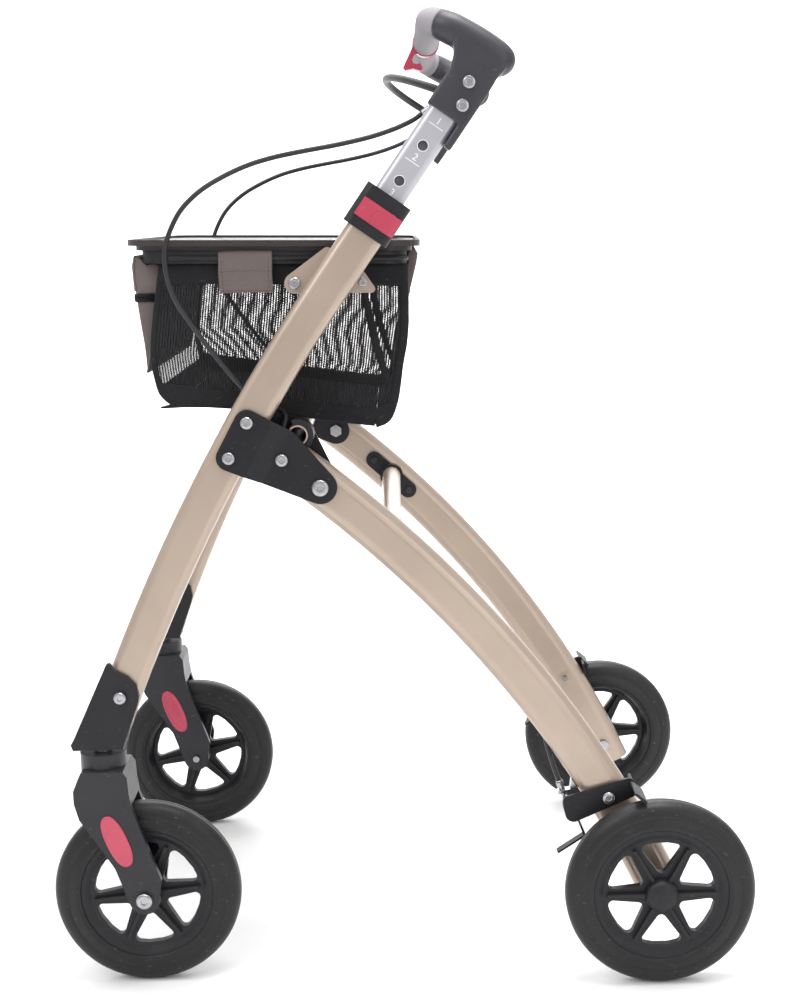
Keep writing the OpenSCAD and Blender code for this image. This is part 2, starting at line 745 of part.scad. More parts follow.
// ---- Wheels ----
hub_r = 16;
bearing_r = 11;
bearing_w = 7;
spokes = 6;
window_r = 54;
web_in = 1;
web_out = 9;
front_spin = [6, 13];
module tyre(x, y) {
    h = tyre_w / 2;
    r0 = rim_d / 2;
    translate([x, y, wheel_r])
        rotate([0, 90, 0])
            rotate_extrude($fn = 96)
                polygon([[r0, -h + 1.5], [r0 + 2, -h + 0.5], [wheel_r - 15, -h], [wheel_r - 8, -h + 1.5],
                         [wheel_r - 3.2, -h + 4.6], [wheel_r - 0.6, -h + 9], [wheel_r, -4], [wheel_r, 4],
                         [wheel_r - 0.6, h - 9], [wheel_r - 3.2, h - 4.6], [wheel_r - 8, h - 1.5],
                         [wheel_r - 15, h], [r0 + 2, h - 0.5], [r0, h - 1.5]]);
}
module wheel_window() {
    o = window_r - 5;
    polygon(belt([[27, 0, 5], [o * cos(17), -o * sin(17), 5], [o * cos(8), -o * sin(8), 5],
                  [o * cos(8), o * sin(8), 5], [o * cos(17), o * sin(17), 5]]));
}
module rim(x, y, spin = 0) {
    h = tyre_w / 2;
    r0 = rim_d / 2;
    translate([x, y, wheel_r])
        rotate([spin, 0, 0])
        rotate([0, 90, 0])
            difference() {
                union() {
                    rotate_extrude($fn = 96)
                        polygon([[bearing_r - 3, web_in], [window_r + 4, web_in],
                                 [r0 - 4, -h + 3], [r0, -h + 2.5], [r0, h - 2.5], [r0 - 4, h - 3],
                                 [window_r + 4, web_out], [bearing_r - 3, web_out]]);
                    cylinder(r = hub_r, h = tyre_w, center = true);
                    for (i = [0:spokes - 1])
                        rotate([0, 0, (i + 0.5) * 360 / spokes])
                            translate([hub_r - 3, -1.7, web_in - 5])
                                cube([window_r + 3 - hub_r, 3.4, web_out - web_in + 10]);
                }
                for (i = [0:spokes - 1])
                    rotate([0, 0, i * 360 / spokes])
                        linear_extrude(tyre_w + 2, center = true)
                            wheel_window();
                cylinder(r = bearing_r - 2, h = tyre_w + 2, center = true);
                for (z = [-h - 1, h - bearing_w])
                    translate([0, 0, z])
                        cylinder(r = bearing_r, h = bearing_w + 1);
            }
}
module bearings(x, y) {
    for (dx = [-tyre_w / 2, tyre_w / 2 - bearing_w])
        difference() {
            rod([y, wheel_r], bearing_r - 0.09, x + dx, x + dx + bearing_w);
            rod([y, wheel_r], axle_d / 2 + run_gap, x + dx - 1, x + dx + bearing_w + 1);
        }
}
module rear_tyre(side) {
    color([0.08, 0.08, 0.09])
    on_side(side)
    tyre(rear_x, rear_y);
}
module rear_rim(side) {
    color([0.13, 0.13, 0.14])
    on_side(side)
    rim(rear_x, rear_y);
}
// Two bearings and the domed cap that covers the outer one
module rear_hub(side) {
    color([0.15, 0.15, 0.16])
    on_side(side) {
        bearings(rear_x, rear_y);
        translate([rear_x + tyre_w / 2 + fit_gap, rear_y, wheel_r])
            rotate([0, 90, 0])
                rotate_extrude()
                    polygon(concat([[0, 2.4], [hub_r - 2, 2.4], [hub_r - 2, 0]],
                                   [for (a = [0:15:90]) [hub_r * cos(a), 1 + 7 * sin(a)]]));
    }
}
module front_tyre(side) {
    color([0.08, 0.08, 0.09])
    on_side(side)
    tyre(tube_x, front_y);
}
module front_rim(side) {
    color([0.13, 0.13, 0.14])
    on_side(side) {
        rim(tube_x, front_y, side > 0 ? front_spin[0] : front_spin[1]);
        bearings(tube_x, front_y);
    }
}

// Forks: a swivelling crown and two arms that lean back to the axle
fork_half = 28;
fork_arm = 7;
module fork(side) {
    z0 = wheel_d;
    y0 = steer_y;
    crown_z = z0 + 12;
    arm = concat([[y0 - 27.5, z0 + 21], [y0 - 27.5, z0 + 8], [y0 - 23, z0 - 9], [y0 - 16, z0 - 20],
                  [y0 - 3, z0 - 40], [y0 + 10, z0 - 61]],
                 arc([front_y, wheel_r], 15.5, 200, 370),
                 [[y0 + 56, z0 - 75], [y0 + 47, z0 - 49], [y0 + 37, z0 - 20], [y0 + 30, z0 + 2],
                  [y0 + 28, z0 + 16], [y0 + 27, z0 + 34], [y0 + 23, z0 + 40], [y0 - 19, z0 + 40],
                  [y0 - 22, z0 + 34]]);
    color([0.14, 0.14, 0.15])
    on_side(side)
    difference() {
        union() {
            slab(arm, tube_x - fork_half, tube_x + fork_half);
            translate([steer_x, y0, crown_z + 20])
                cylinder(r = 23, h = socket_z - 5 - crown_z - 20);
        }
        rod([front_y, wheel_r], wheel_r + 4.5, tube_x - fork_half + fork_arm, tube_x + fork_half - fork_arm);
        slab([[y0 - 60, 0], [front_y + 60, 0], [front_y + 60, wheel_r], [front_y, wheel_r], [y0 - 60, wheel_r]],
             tube_x - fork_half + fork_arm, tube_x + fork_half - fork_arm);
        rod([front_y, wheel_r], axle_d / 2 + fit_gap, tube_x - fork_half - 2, tube_x + fork_half + 2);
        translate([steer_x, steer_y, z0 - 20])
            cylinder(r = stem_r + run_gap, h = 100);
    }
}
module front_axle(side) {
    p = [front_y, wheel_r];
    color([0.80, 0.81, 0.82])
    on_side(side) {
        screw_x(p, tube_x + fork_half, axle_d / 2, 2 * fork_half + 4, 1);
        for (s = [-1, 1])
            difference() {
                rod(p, 7, tube_x + s * (tyre_w / 2 + fork_half - fork_arm) / 2 - (fork_half - fork_arm - tyre_w / 2) / 2 + 0.3,
                    tube_x + s * (tyre_w / 2 + fork_half - fork_arm) / 2 + (fork_half - fork_arm - tyre_w / 2) / 2 - 0.3);
                rod(p, axle_d / 2, tube_x - fork_half, tube_x + fork_half);
            }
    }
}

// ---- Tray and basket ----
module round_box(hw, y0, y1, z0, z1, r) {
    translate([0, (y0 + y1) / 2, z0])
        linear_extrude(z1 - z0)
            polygon(round_rect(2 * hw, y1 - y0, r));
}
// Depths are measured from the tray's middle, heights from the top of the basket's frame
tray_f = tray_y0 - tray_mid;
tray_r = tray_y1 - tray_mid;
module tray() {
    color([0.45, 0.41, 0.38])
    leaning()
    difference() {
        union() {
            round_box(tray_half_w, tray_f, tray_r, 5, 11, 34);
            round_box(tray_half_w - 8, tray_f + 8, tray_r - 8, move_gap, 6, 28);
        }
        round_box(tray_half_w - 4, tray_f + 4, tray_r - 4, 8, 12, 30);
    }
}
ring_w = 9;
module basket_frame() {
    f = tray_f + 15;
    r = tray_r - 13;
    color([0.08, 0.08, 0.09])
    leaning()
    difference() {
        round_box(basket_half_w + 3, f, r, -rim_h, 0, 24);
        round_box(basket_half_w + 3 - ring_w, f + ring_w, r - ring_w, -rim_h - 1, 1, 17);
    }
}
bag_half_w = basket_half_w - 4;
bag_y0 = tray_y0 + 35;
bag_y1 = 20;
bag_wall = 3;
// Height of the underside of the basket's frame at y, less t
function bag_top(y, t) = basket_top_z - (rim_h + fit_gap) / cos(tray_tilt) - (y - tray_mid) * tan(tray_tilt) + t;
function bag_outline(t) = [
    [bag_y0 + t, bag_top(bag_y0 + t, 0) + 2 * t], [bag_y0 - 13 + t, 642],
    [bag_y0 - 9 + t, basket_floor_z + 17], [bag_y0 - 2 + t, basket_floor_z + 4 + t],
    [bag_y0 + 8 + t, basket_floor_z - 2 + t], [-150, basket_floor_z - 6 + t], [-40, basket_floor_z - 23 + t],
    each arc([-13, basket_floor_z - 7], 20 - t, -105, -10),
    [bag_y1 - 8 - t, 620], [bag_y1 - 1 - t, 660], [bag_y1 - t, bag_top(bag_y1 - t, 0) + 2 * t]];
module basket_bag() {
    color([0.10, 0.10, 0.11, 0.6])
    difference() {
        slab(bag_outline(0), -bag_half_w, bag_half_w);
        slab(bag_outline(bag_wall), -bag_half_w + bag_wall, bag_half_w - bag_wall);
    }
}
module basket_pocket() {
    f = tray_y0 + 15 - 0.6;
    color([0.50, 0.46, 0.43])
    slab([[f, 735], [f - 12.6, 736], [f - 15, 726], [f - 13.4, 702], [f - 11.4, 681], [f - 8, 649],
          [f - 6, 618], [f - 1.4, 627], [bag_y0 - 13.2, 642], [bag_y0 - 0.2, bag_top(bag_y0, -0.3)],
          [f, bag_top(f, -0.3)]],
         -bag_half_w + 14, bag_half_w - 14);
}
module basket_tabs() {
    tab_x = basket_half_w + 3.2;
    color([0.50, 0.46, 0.43]) {
        both()
        translate([tab_x, -161, 697])
            cube([2.4, 52, 38]);
        slab([[bag_y1 + 0.3, 687], [bag_y1 + 4, 686], [bag_y1 + 9.6, 709], [bag_y1 + 15, 730],
              [bag_y1 + 8, 733], [bag_y1 + 3.9, 732], [bag_y1 + 3.9, 719.5], [bag_y1 + 0.3, 719.5]],
             -bag_half_w + 40, bag_half_w - 40);
    }
}

// ---- Brake cables ----
CABLE_SIDES = 8;
cable_r = 2.5;
// Upper route, left side: from the ferrule forward, round and back behind the front tube, then
// over the inner hinge plate to the head of the leg. X is measured from the front tube's middle.
CABLE_UPPER = [[-13, 41.4, 863.4], [-12, 32, 857], [-10, 13, 849], [-8, -11, 842], [-6, -41, 836], [-5, -73, 831],
    [-5, -101, 826], [-5, -127, 819], [-5, -153, 808], [-5, -175, 795], [-6, -193, 778], [-7, -205, 757],
    [-8, -210, 740], [-10, -210, 720], [-12, -204, 696], [-14, -192, 674], [-16, -176, 650],
    [-17.5, -158, 625], [-19.5, -140, 603], [-21, -126, 589], [-20, -114, 583], [-16, -105, 582.5],
    [-9, -100, 577], [-5, -102, 566], [-5, -108, 552], [-5, -113.5, 540], [-5, -111, 532], [-5, -107, 526.5]];
// Lower route, left side: distance along the leg from the axle and offset from its middle
CABLE_LOWER = [[565, -13], [532, -13], [495, -12], [450, -13], [400, -13], [350, -13], [300, -13], [250, -13],
    [222, -14], [200, -17], [186, -20], [176, -24]];
function unit3(v) = v / norm(v);
function way(pts, i) =
    unit3(pts[min(i + 1, len(pts) - 1)] - pts[max(i - 1, 0)]);
function ring(c, d, r) =
    let (u = unit3(cross(d, [1, 0.02, 0.01])), v = cross(d, u))
    [for (k = [0:CABLE_SIDES - 1]) c + r * (cos(k * 360 / CABLE_SIDES) * u + sin(k * 360 / CABLE_SIDES) * v)];
module cable(route, r) {
    n = len(route);
    m = CABLE_SIDES;
    polyhedron(
        points = [for (i = [0:n - 1]) each ring(route[i], way(route, i), r)],
        faces = concat(
            [[for (k = [0:m - 1]) k]],
            [for (i = [0:n - 2]) for (k = [0:m - 1])
                [i * m + k, (i + 1) * m + k, (i + 1) * m + (k + 1) % m, i * m + (k + 1) % m]],
            [[for (k = [0:m - 1]) (n - 1) * m + m - 1 - k]]));
}
module brake_cables_upper() {
    color([0.06, 0.06, 0.07])
    both()
    cable([for (p = CABLE_UPPER) p + [tube_x, 0, 0]], cable_r);
}
module brake_cables_lower() {
    up = [-sin(barrel_tilt), cos(barrel_tilt)];
    route = concat([for (p = CABLE_LOWER) concat(leg_x, on_leg(p[0], p[1]))],
        [concat(leg_x, barrel_p + 32 * up), concat(leg_x, barrel_p + 24 * up), concat(leg_x, barrel_p + 16.2 * up)]);
    color([0.06, 0.06, 0.07])
    both()
    cable(route, cable_r);
}

front_tube(1);  // front_tube_left
front_tube(-1);  // front_tube_right
height_collars();
hinge_plates_outer();
hinge_plates_inner();
upper_cross_tube();
plate_spacers();
caster_sockets();
caster_stems();
tray_brackets();
frame_screws();
frame_nuts();
pivot_bolts();
brake_cables_upper();
handle_tubes();
handle(1);  // handle_left
handle(-1);  // handle_right
crossbar_core();
crossbar_sleeve();
handle_screws();
cable_ferrules();
brake_bar();
brake_bar_pins();
lock_hook();
button(1);  // button_left
button(-1);  // button_right
rear_leg(1);  // rear_leg_left
rear_leg(-1);  // rear_leg_right
leg_saddles();
lower_cross_tube();
cross_flanges();
flange_screws();
brake_cables_lower();
cable_stops();
barrel_adjusters();
rear_axles();
brake_pivots();
brake_arm(1);  // brake_arm_left
brake_arm(-1);  // brake_arm_right
brake_shoe(1);  // brake_shoe_left
brake_shoe(-1);  // brake_shoe_right
rear_tyre(1);  // rear_tyre_left
rear_tyre(-1);  // rear_tyre_right
rear_rim(1);  // rear_rim_left
rear_rim(-1);  // rear_rim_right
rear_hub(1);  // rear_hub_left
rear_hub(-1);  // rear_hub_right
fork(1);  // fork_left
fork(-1);  // fork_right
front_axle(1);  // front_axle_left
front_axle(-1);  // front_axle_right
front_tyre(1);  // front_tyre_left
front_tyre(-1);  // front_tyre_right
front_rim(1);  // front_rim_left
front_rim(-1);  // front_rim_right
tray();
basket_frame();
basket_bag();
basket_pocket();
basket_tabs();
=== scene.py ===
"""Rollator walker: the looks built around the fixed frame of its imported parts.

All lengths are in metres, in the row frame: X to the user's left, Y to the rear, Z up, floor at 0.
"""

import json
import logging
import math
from dataclasses import dataclass
from enum import Enum
from typing import Callable, Sequence

import bmesh
import bpy
from mathutils import Matrix, Vector
from mathutils.noise import noise

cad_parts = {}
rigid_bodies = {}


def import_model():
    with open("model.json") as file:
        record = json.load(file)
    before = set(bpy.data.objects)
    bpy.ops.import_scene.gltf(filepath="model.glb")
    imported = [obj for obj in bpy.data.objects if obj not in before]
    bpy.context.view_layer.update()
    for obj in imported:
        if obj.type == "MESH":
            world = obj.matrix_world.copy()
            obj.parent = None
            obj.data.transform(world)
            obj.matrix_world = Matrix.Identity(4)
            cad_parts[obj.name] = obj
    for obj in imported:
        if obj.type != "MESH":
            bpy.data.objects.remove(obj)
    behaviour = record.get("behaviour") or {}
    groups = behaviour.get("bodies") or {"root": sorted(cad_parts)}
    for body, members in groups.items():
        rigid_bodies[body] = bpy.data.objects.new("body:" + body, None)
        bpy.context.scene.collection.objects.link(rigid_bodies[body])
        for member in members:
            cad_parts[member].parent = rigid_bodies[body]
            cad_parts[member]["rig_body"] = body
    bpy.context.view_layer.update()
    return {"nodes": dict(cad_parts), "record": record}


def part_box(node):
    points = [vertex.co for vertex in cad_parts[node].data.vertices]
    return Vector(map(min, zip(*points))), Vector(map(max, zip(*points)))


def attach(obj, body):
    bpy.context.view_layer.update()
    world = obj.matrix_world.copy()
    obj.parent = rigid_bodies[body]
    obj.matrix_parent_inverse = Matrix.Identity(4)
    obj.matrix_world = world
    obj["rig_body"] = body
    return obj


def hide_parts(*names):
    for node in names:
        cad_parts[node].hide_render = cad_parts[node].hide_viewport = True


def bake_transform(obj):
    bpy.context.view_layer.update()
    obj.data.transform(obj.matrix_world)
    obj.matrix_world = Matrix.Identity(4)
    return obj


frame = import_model()
LOG = logging.getLogger("rollator")
MM = 0.001
SIDES = {"left": 1, "right": -1}

Point = tuple[float, float, float]
Pair = tuple[float, float]
Colour = tuple[float, float, float]


# ---- Sizes shared by several pieces, as the parts' own source gives them ----
@dataclass(frozen=True)
class Walker:
    """Main places of the walker's frame."""

    tube_x: float = 219 * MM
    leg_x: float = 214 * MM
    wheel_r: float = 95 * MM
    tyre_w: float = 30 * MM
    rim_r: float = 67 * MM
    front_y: float = -259 * MM
    rear_x: float = 257 * MM
    rear_y: float = 259 * MM
    tube_angle: float = math.radians(54.3)
    axis_at: Pair = (-4 * MM, 770 * MM)
    leg_centre: Pair = (-0.821054, -0.421035)
    leg_bend_r: float = 1.197

    def on_axis(self, along: float, across: float) -> Pair:
        """Gives the point that lies so far along the height tubes' axis and forward of it.

        Args:
            along: Distance up the axis.
            across: Distance forward of the axis.

        Returns:
            The point's Y and Z.
        """
        c, s = math.cos(self.tube_angle), math.sin(self.tube_angle)
        return (self.axis_at[0] + along * c - across * s, self.axis_at[1] + along * s + across * c)

    def on_leg(self, along: float, out: float) -> Pair:
        """Gives the point that lies so far up the curved leg from the axle, and out from its middle line."""
        start = math.atan2(self.wheel_r - self.leg_centre[1], self.rear_y - self.leg_centre[0])
        a, r = start + along / self.leg_bend_r, self.leg_bend_r + out
        return (self.leg_centre[0] + r * math.cos(a), self.leg_centre[1] + r * math.sin(a))


WALKER = Walker()


# ---- Mesh making ----
def make_object(name: str, verts: Sequence[Point], faces: Sequence[Sequence[int]],
                uvs: Sequence[Pair] | None = None, smooth: bool = True) -> bpy.types.Object:
    """Makes a mesh object at the origin, with its place in its mesh.

    Args:
        name: The piece's name.
        verts: Its points.
        faces: Its faces.
        uvs: One UV pair for each point, in metres of cloth or tube.
        smooth: Whether its faces shade smoothly.

    Returns:
        The new object.
    """
    mesh = bpy.data.meshes.new(name)
    mesh.from_pydata([tuple(v) for v in verts], [], [tuple(f) for f in faces])
    if uvs is not None:
        layer = mesh.uv_layers.new(name="cloth")
        for loop in mesh.loops:
            layer.data[loop.index].uv = uvs[loop.vertex_index]
    mesh.validate()
    obj = bpy.data.objects.new(name, mesh)
    bpy.context.scene.collection.objects.link(obj)
    if smooth:
        mesh.shade_smooth()
    return obj


def face_outwards(obj: bpy.types.Object) -> bpy.types.Object:
    """Merges doubles and turns a closed mesh's faces outwards."""
    bm = bmesh.new()
    bm.from_mesh(obj.data)
    bmesh.ops.remove_doubles(bm, verts=bm.verts, dist=1e-6)
    bmesh.ops.recalc_face_normals(bm, faces=bm.faces)
    bm.to_mesh(obj.data)
    bm.free()
    return obj


def joined(name: str, parts: Sequence[bpy.types.Object]) -> bpy.types.Object:
    """Joins several mesh objects into the first one and names it."""
    with bpy.context.temp_override(active_object=parts[0], selected_editable_objects=list(parts)):
        bpy.ops.object.join()
    parts[0].name = parts[0].data.name = name
    return parts[0]


def baked(obj: bpy.types.Object) -> bpy.types.Object:
    """Turns an object's modifiers into plain mesh and removes them."""
    bpy.context.view_layer.update()
    mesh = bpy.data.meshes.new_from_object(obj.evaluated_get(bpy.context.evaluated_depsgraph_get()))
    obj.modifiers.clear()
    obj.data = mesh
    return obj


def ring_of(centre: Vector, along: Vector, r: float, sides: int, up: Vector, flat: float = 1.0) -> list[Vector]:
    """Gives one ring of a swept tube, an ellipse when flat isn't 1."""
    side = along.cross(up).normalized()
    top = side.cross(along).normalized()
    turns = [2 * math.pi * k / sides for k in range(sides)]
    return [centre + r * (math.cos(a) * side + flat * math.sin(a) * top) for a in turns]


def tube(name: str, path: Sequence[Point], radii: float | Sequence[float], sides: int = 16,
         up: Point = (1, 0, 0.02), flat: float = 1.0) -> bpy.types.Object:
    """Sweeps a closed round or flattened tube along a path.

    Args:
        name: The piece's name.
        path: The points of its middle line.
        radii: Its radius, or one for each point.
        sides: How many sides it has.
        up: The direction that its flat side faces.
        flat: Its thickness as a share of its width.

    Returns:
        The tube, with UVs along and round it.
    """
    pts = [Vector(p) for p in path]
    rs = [radii] * len(pts) if isinstance(radii, (int, float)) else list(radii)
    verts, uvs, run = [], [], 0.0
    for i, p in enumerate(pts):
        along = (pts[min(i + 1, len(pts) - 1)] - pts[max(i - 1, 0)]).normalized()
        run += (p - pts[i - 1]).length if i else 0.0
        verts += ring_of(p, along, rs[i], sides, Vector(up), flat)
        uvs += [(run, 2 * math.pi * rs[i] * k / sides) for k in range(sides)]
    faces = [(i * sides + k, i * sides + (k + 1) % sides, (i + 1) * sides + (k + 1) % sides, (i + 1) * sides + k)
             for i in range(len(pts) - 1) for k in range(sides)]
    faces += [tuple(range(sides))[::-1], tuple(range((len(pts) - 1) * sides, len(pts) * sides))]
    return face_outwards(make_object(name, verts, faces, uvs))


def smooth_path(points: Sequence[Point], step: float = 0.004) -> list[Vector]:
    """Gives a Catmull-Rom path through the points, in steps of about the given length."""
    p = [Vector(q) for q in points]
    p = [2 * p[0] - p[1], *p, 2 * p[-1] - p[-2]]
    out = []
    for a, b, c, d in zip(p, p[1:], p[2:], p[3:]):
        n = max(1, round((c - b).length / step))
        for k in range(n):
            t = k / n
            out.append(0.5 * (2 * b + (c - a) * t + (2 * a - 5 * b + 4 * c - d) * t * t
                              + (3 * b - a - 3 * c + d) * t ** 3))
    return out + [p[-2]]


def lathe(name: str, profile: Sequence[Pair], x: float, y: float, z: float, turns: int = 128) -> bpy.types.Object:
    """Turns a closed outline round an axle that lies along X.

    Args:
        name: The piece's name.
        profile: The outline as radius and distance along X.
        x: The axle's middle, across.
        y: The axle's place, front to rear.
        z: The axle's height.
        turns: How many steps one turn has.

    Returns:
        The turned ring.
    """
    n = len(profile)
    verts = [(x + o, y + r * math.cos(a), z + r * math.sin(a))
             for a in (2 * math.pi * i / turns for i in range(turns)) for r, o in profile]
    faces = [(i * n + k, i * n + (k + 1) % n, (i + 1) % turns * n + (k + 1) % n, (i + 1) % turns * n + k)
             for i in range(turns) for k in range(n)]
    return face_outwards(make_object(name, verts, faces))


def stack_faces(sides: int, rings: int) -> list[tuple[int, ...]]:
    """Gives the faces between the rings of a stack, and the two that close it."""
    faces = [(j * sides + k, j * sides + (k + 1) % sides, (j + 1) * sides + (k + 1) % sides, (j + 1) * sides + k)
             for j in range(rings - 1) for k in range(sides)]
    return faces + [tuple(range(sides)), tuple(range((rings - 1) * sides, rings * sides))]


def patch(name: str, place: Callable[[float, float], Point], nu: int, nv: int, size: Pair,
          thick: float = 0.0) -> bpy.types.Object:
    """Makes a piece of cloth from a rule that places each point of its cut.

    Args:
        name: The piece's name.
        place: Gives the place of a point from its shares of the cut's width and length.
        nu: Steps across.
        nv: Steps along.
        size: The cut's width and length.
        thick: Its thickness, or 0 for a single layer.

    Returns:
        The cloth, with UVs in metres.
    """
    verts = [place(i / nu, j / nv) for j in range(nv + 1) for i in range(nu + 1)]
    uvs = [(i / nu * size[0], j / nv * size[1]) for j in range(nv + 1) for i in range(nu + 1)]
    w = nu + 1
    faces = [(j * w + i, j * w + i + 1, (j + 1) * w + i + 1, (j + 1) * w + i) for j in range(nv) for i in range(nu)]
    obj = make_object(name, verts, faces, uvs)
    if thick:
        solid = obj.modifiers.new("cloth thickness", "SOLIDIFY")
        solid.thickness, solid.offset, solid.use_even_offset = thick, 0.0, False
        baked(obj)
    return obj


def mix(a: float, b: float, t: float) -> float:
    """Gives the value a share t of the way from a to b."""
    return a + (b - a) * t


def along_line(points: Sequence[Pair], t: float) -> Pair:
    """Gives the point a share t of the way along a chain of points."""
    lengths = [math.dist(a, b) for a, b in zip(points, points[1:])]
    left = t * sum(lengths)
    for (a, b), length in zip(zip(points, points[1:]), lengths):
        if left <= length:
            return (mix(a[0], b[0], left / length), mix(a[1], b[1], left / length))
        left -= length
    return points[-1]


def height_on(points: Sequence[Pair], y: float) -> float:
    """Gives the height of a chain of points, in order of Y, at the given Y."""
    for (y0, z0), (y1, z1) in zip(points, points[1:]):
        if y <= y1:
            return mix(z0, z1, (y - y0) / (y1 - y0))
    return points[-1][1]


# ---- Shader groups ----
class Graph:
    """A shader or geometry tree that is being built."""

    def __init__(self, tree: bpy.types.NodeTree) -> None:
        """Keeps the tree."""
        self.tree = tree

    def add(self, kind: str, inputs: dict | None = None, **settings: object) -> bpy.types.Node:
        """Adds a node, sets its properties, and sets or links its inputs.

        Args:
            kind: The node's type.
            inputs: Values or sockets, by input name or number.
            settings: The node's own properties.

        Returns:
            The node.
        """
        node = self.tree.nodes.new(kind)
        for key, value in settings.items():
            setattr(node, key, value)
        for key, value in (inputs or {}).items():
            if isinstance(value, bpy.types.NodeSocket):
                self.tree.links.new(value, node.inputs[key])
            else:
                node.inputs[key].default_value = value
        return node

    def math(self, kind: str, *values: object) -> bpy.types.NodeSocket:
        """Adds a Math node and gives its result."""
        return self.add("ShaderNodeMath", dict(enumerate(values)), operation=kind).outputs[0]

    def blend(self, share: object, a: object, b: object) -> bpy.types.NodeSocket:
        """Mixes two colours and gives the result."""
        node = self.add("ShaderNodeMix", {0: share, 6: a, 7: b}, data_type="RGBA")
        return node.outputs[2]


def new_group(name: str, sockets_in: dict[str, object],
              sockets_out: dict[str, str]) -> tuple[Graph, dict, bpy.types.Node]:
    """Starts a shader group with named inputs and outputs.

    Args:
        name: The group's name.
        sockets_in: Each input's name and its value, a number or a colour.
        sockets_out: Each output's name and its kind of socket.

    Returns:
        The group's graph, its inputs by name, and its output node.
    """
    tree = bpy.data.node_groups.new(name, "ShaderNodeTree")
    for key, value in sockets_in.items():
        kind = "NodeSocketColor" if isinstance(value, tuple) else "NodeSocketFloat"
        tree.interface.new_socket(key, in_out="INPUT", socket_type=kind).default_value = value
    for key, kind in sockets_out.items():
        tree.interface.new_socket(key, in_out="OUTPUT", socket_type=kind)
    graph = Graph(tree)
    start = graph.add("NodeGroupInput")
    return graph, {o.name: o for o in start.outputs if o.name}, graph.add("NodeGroupOutput")


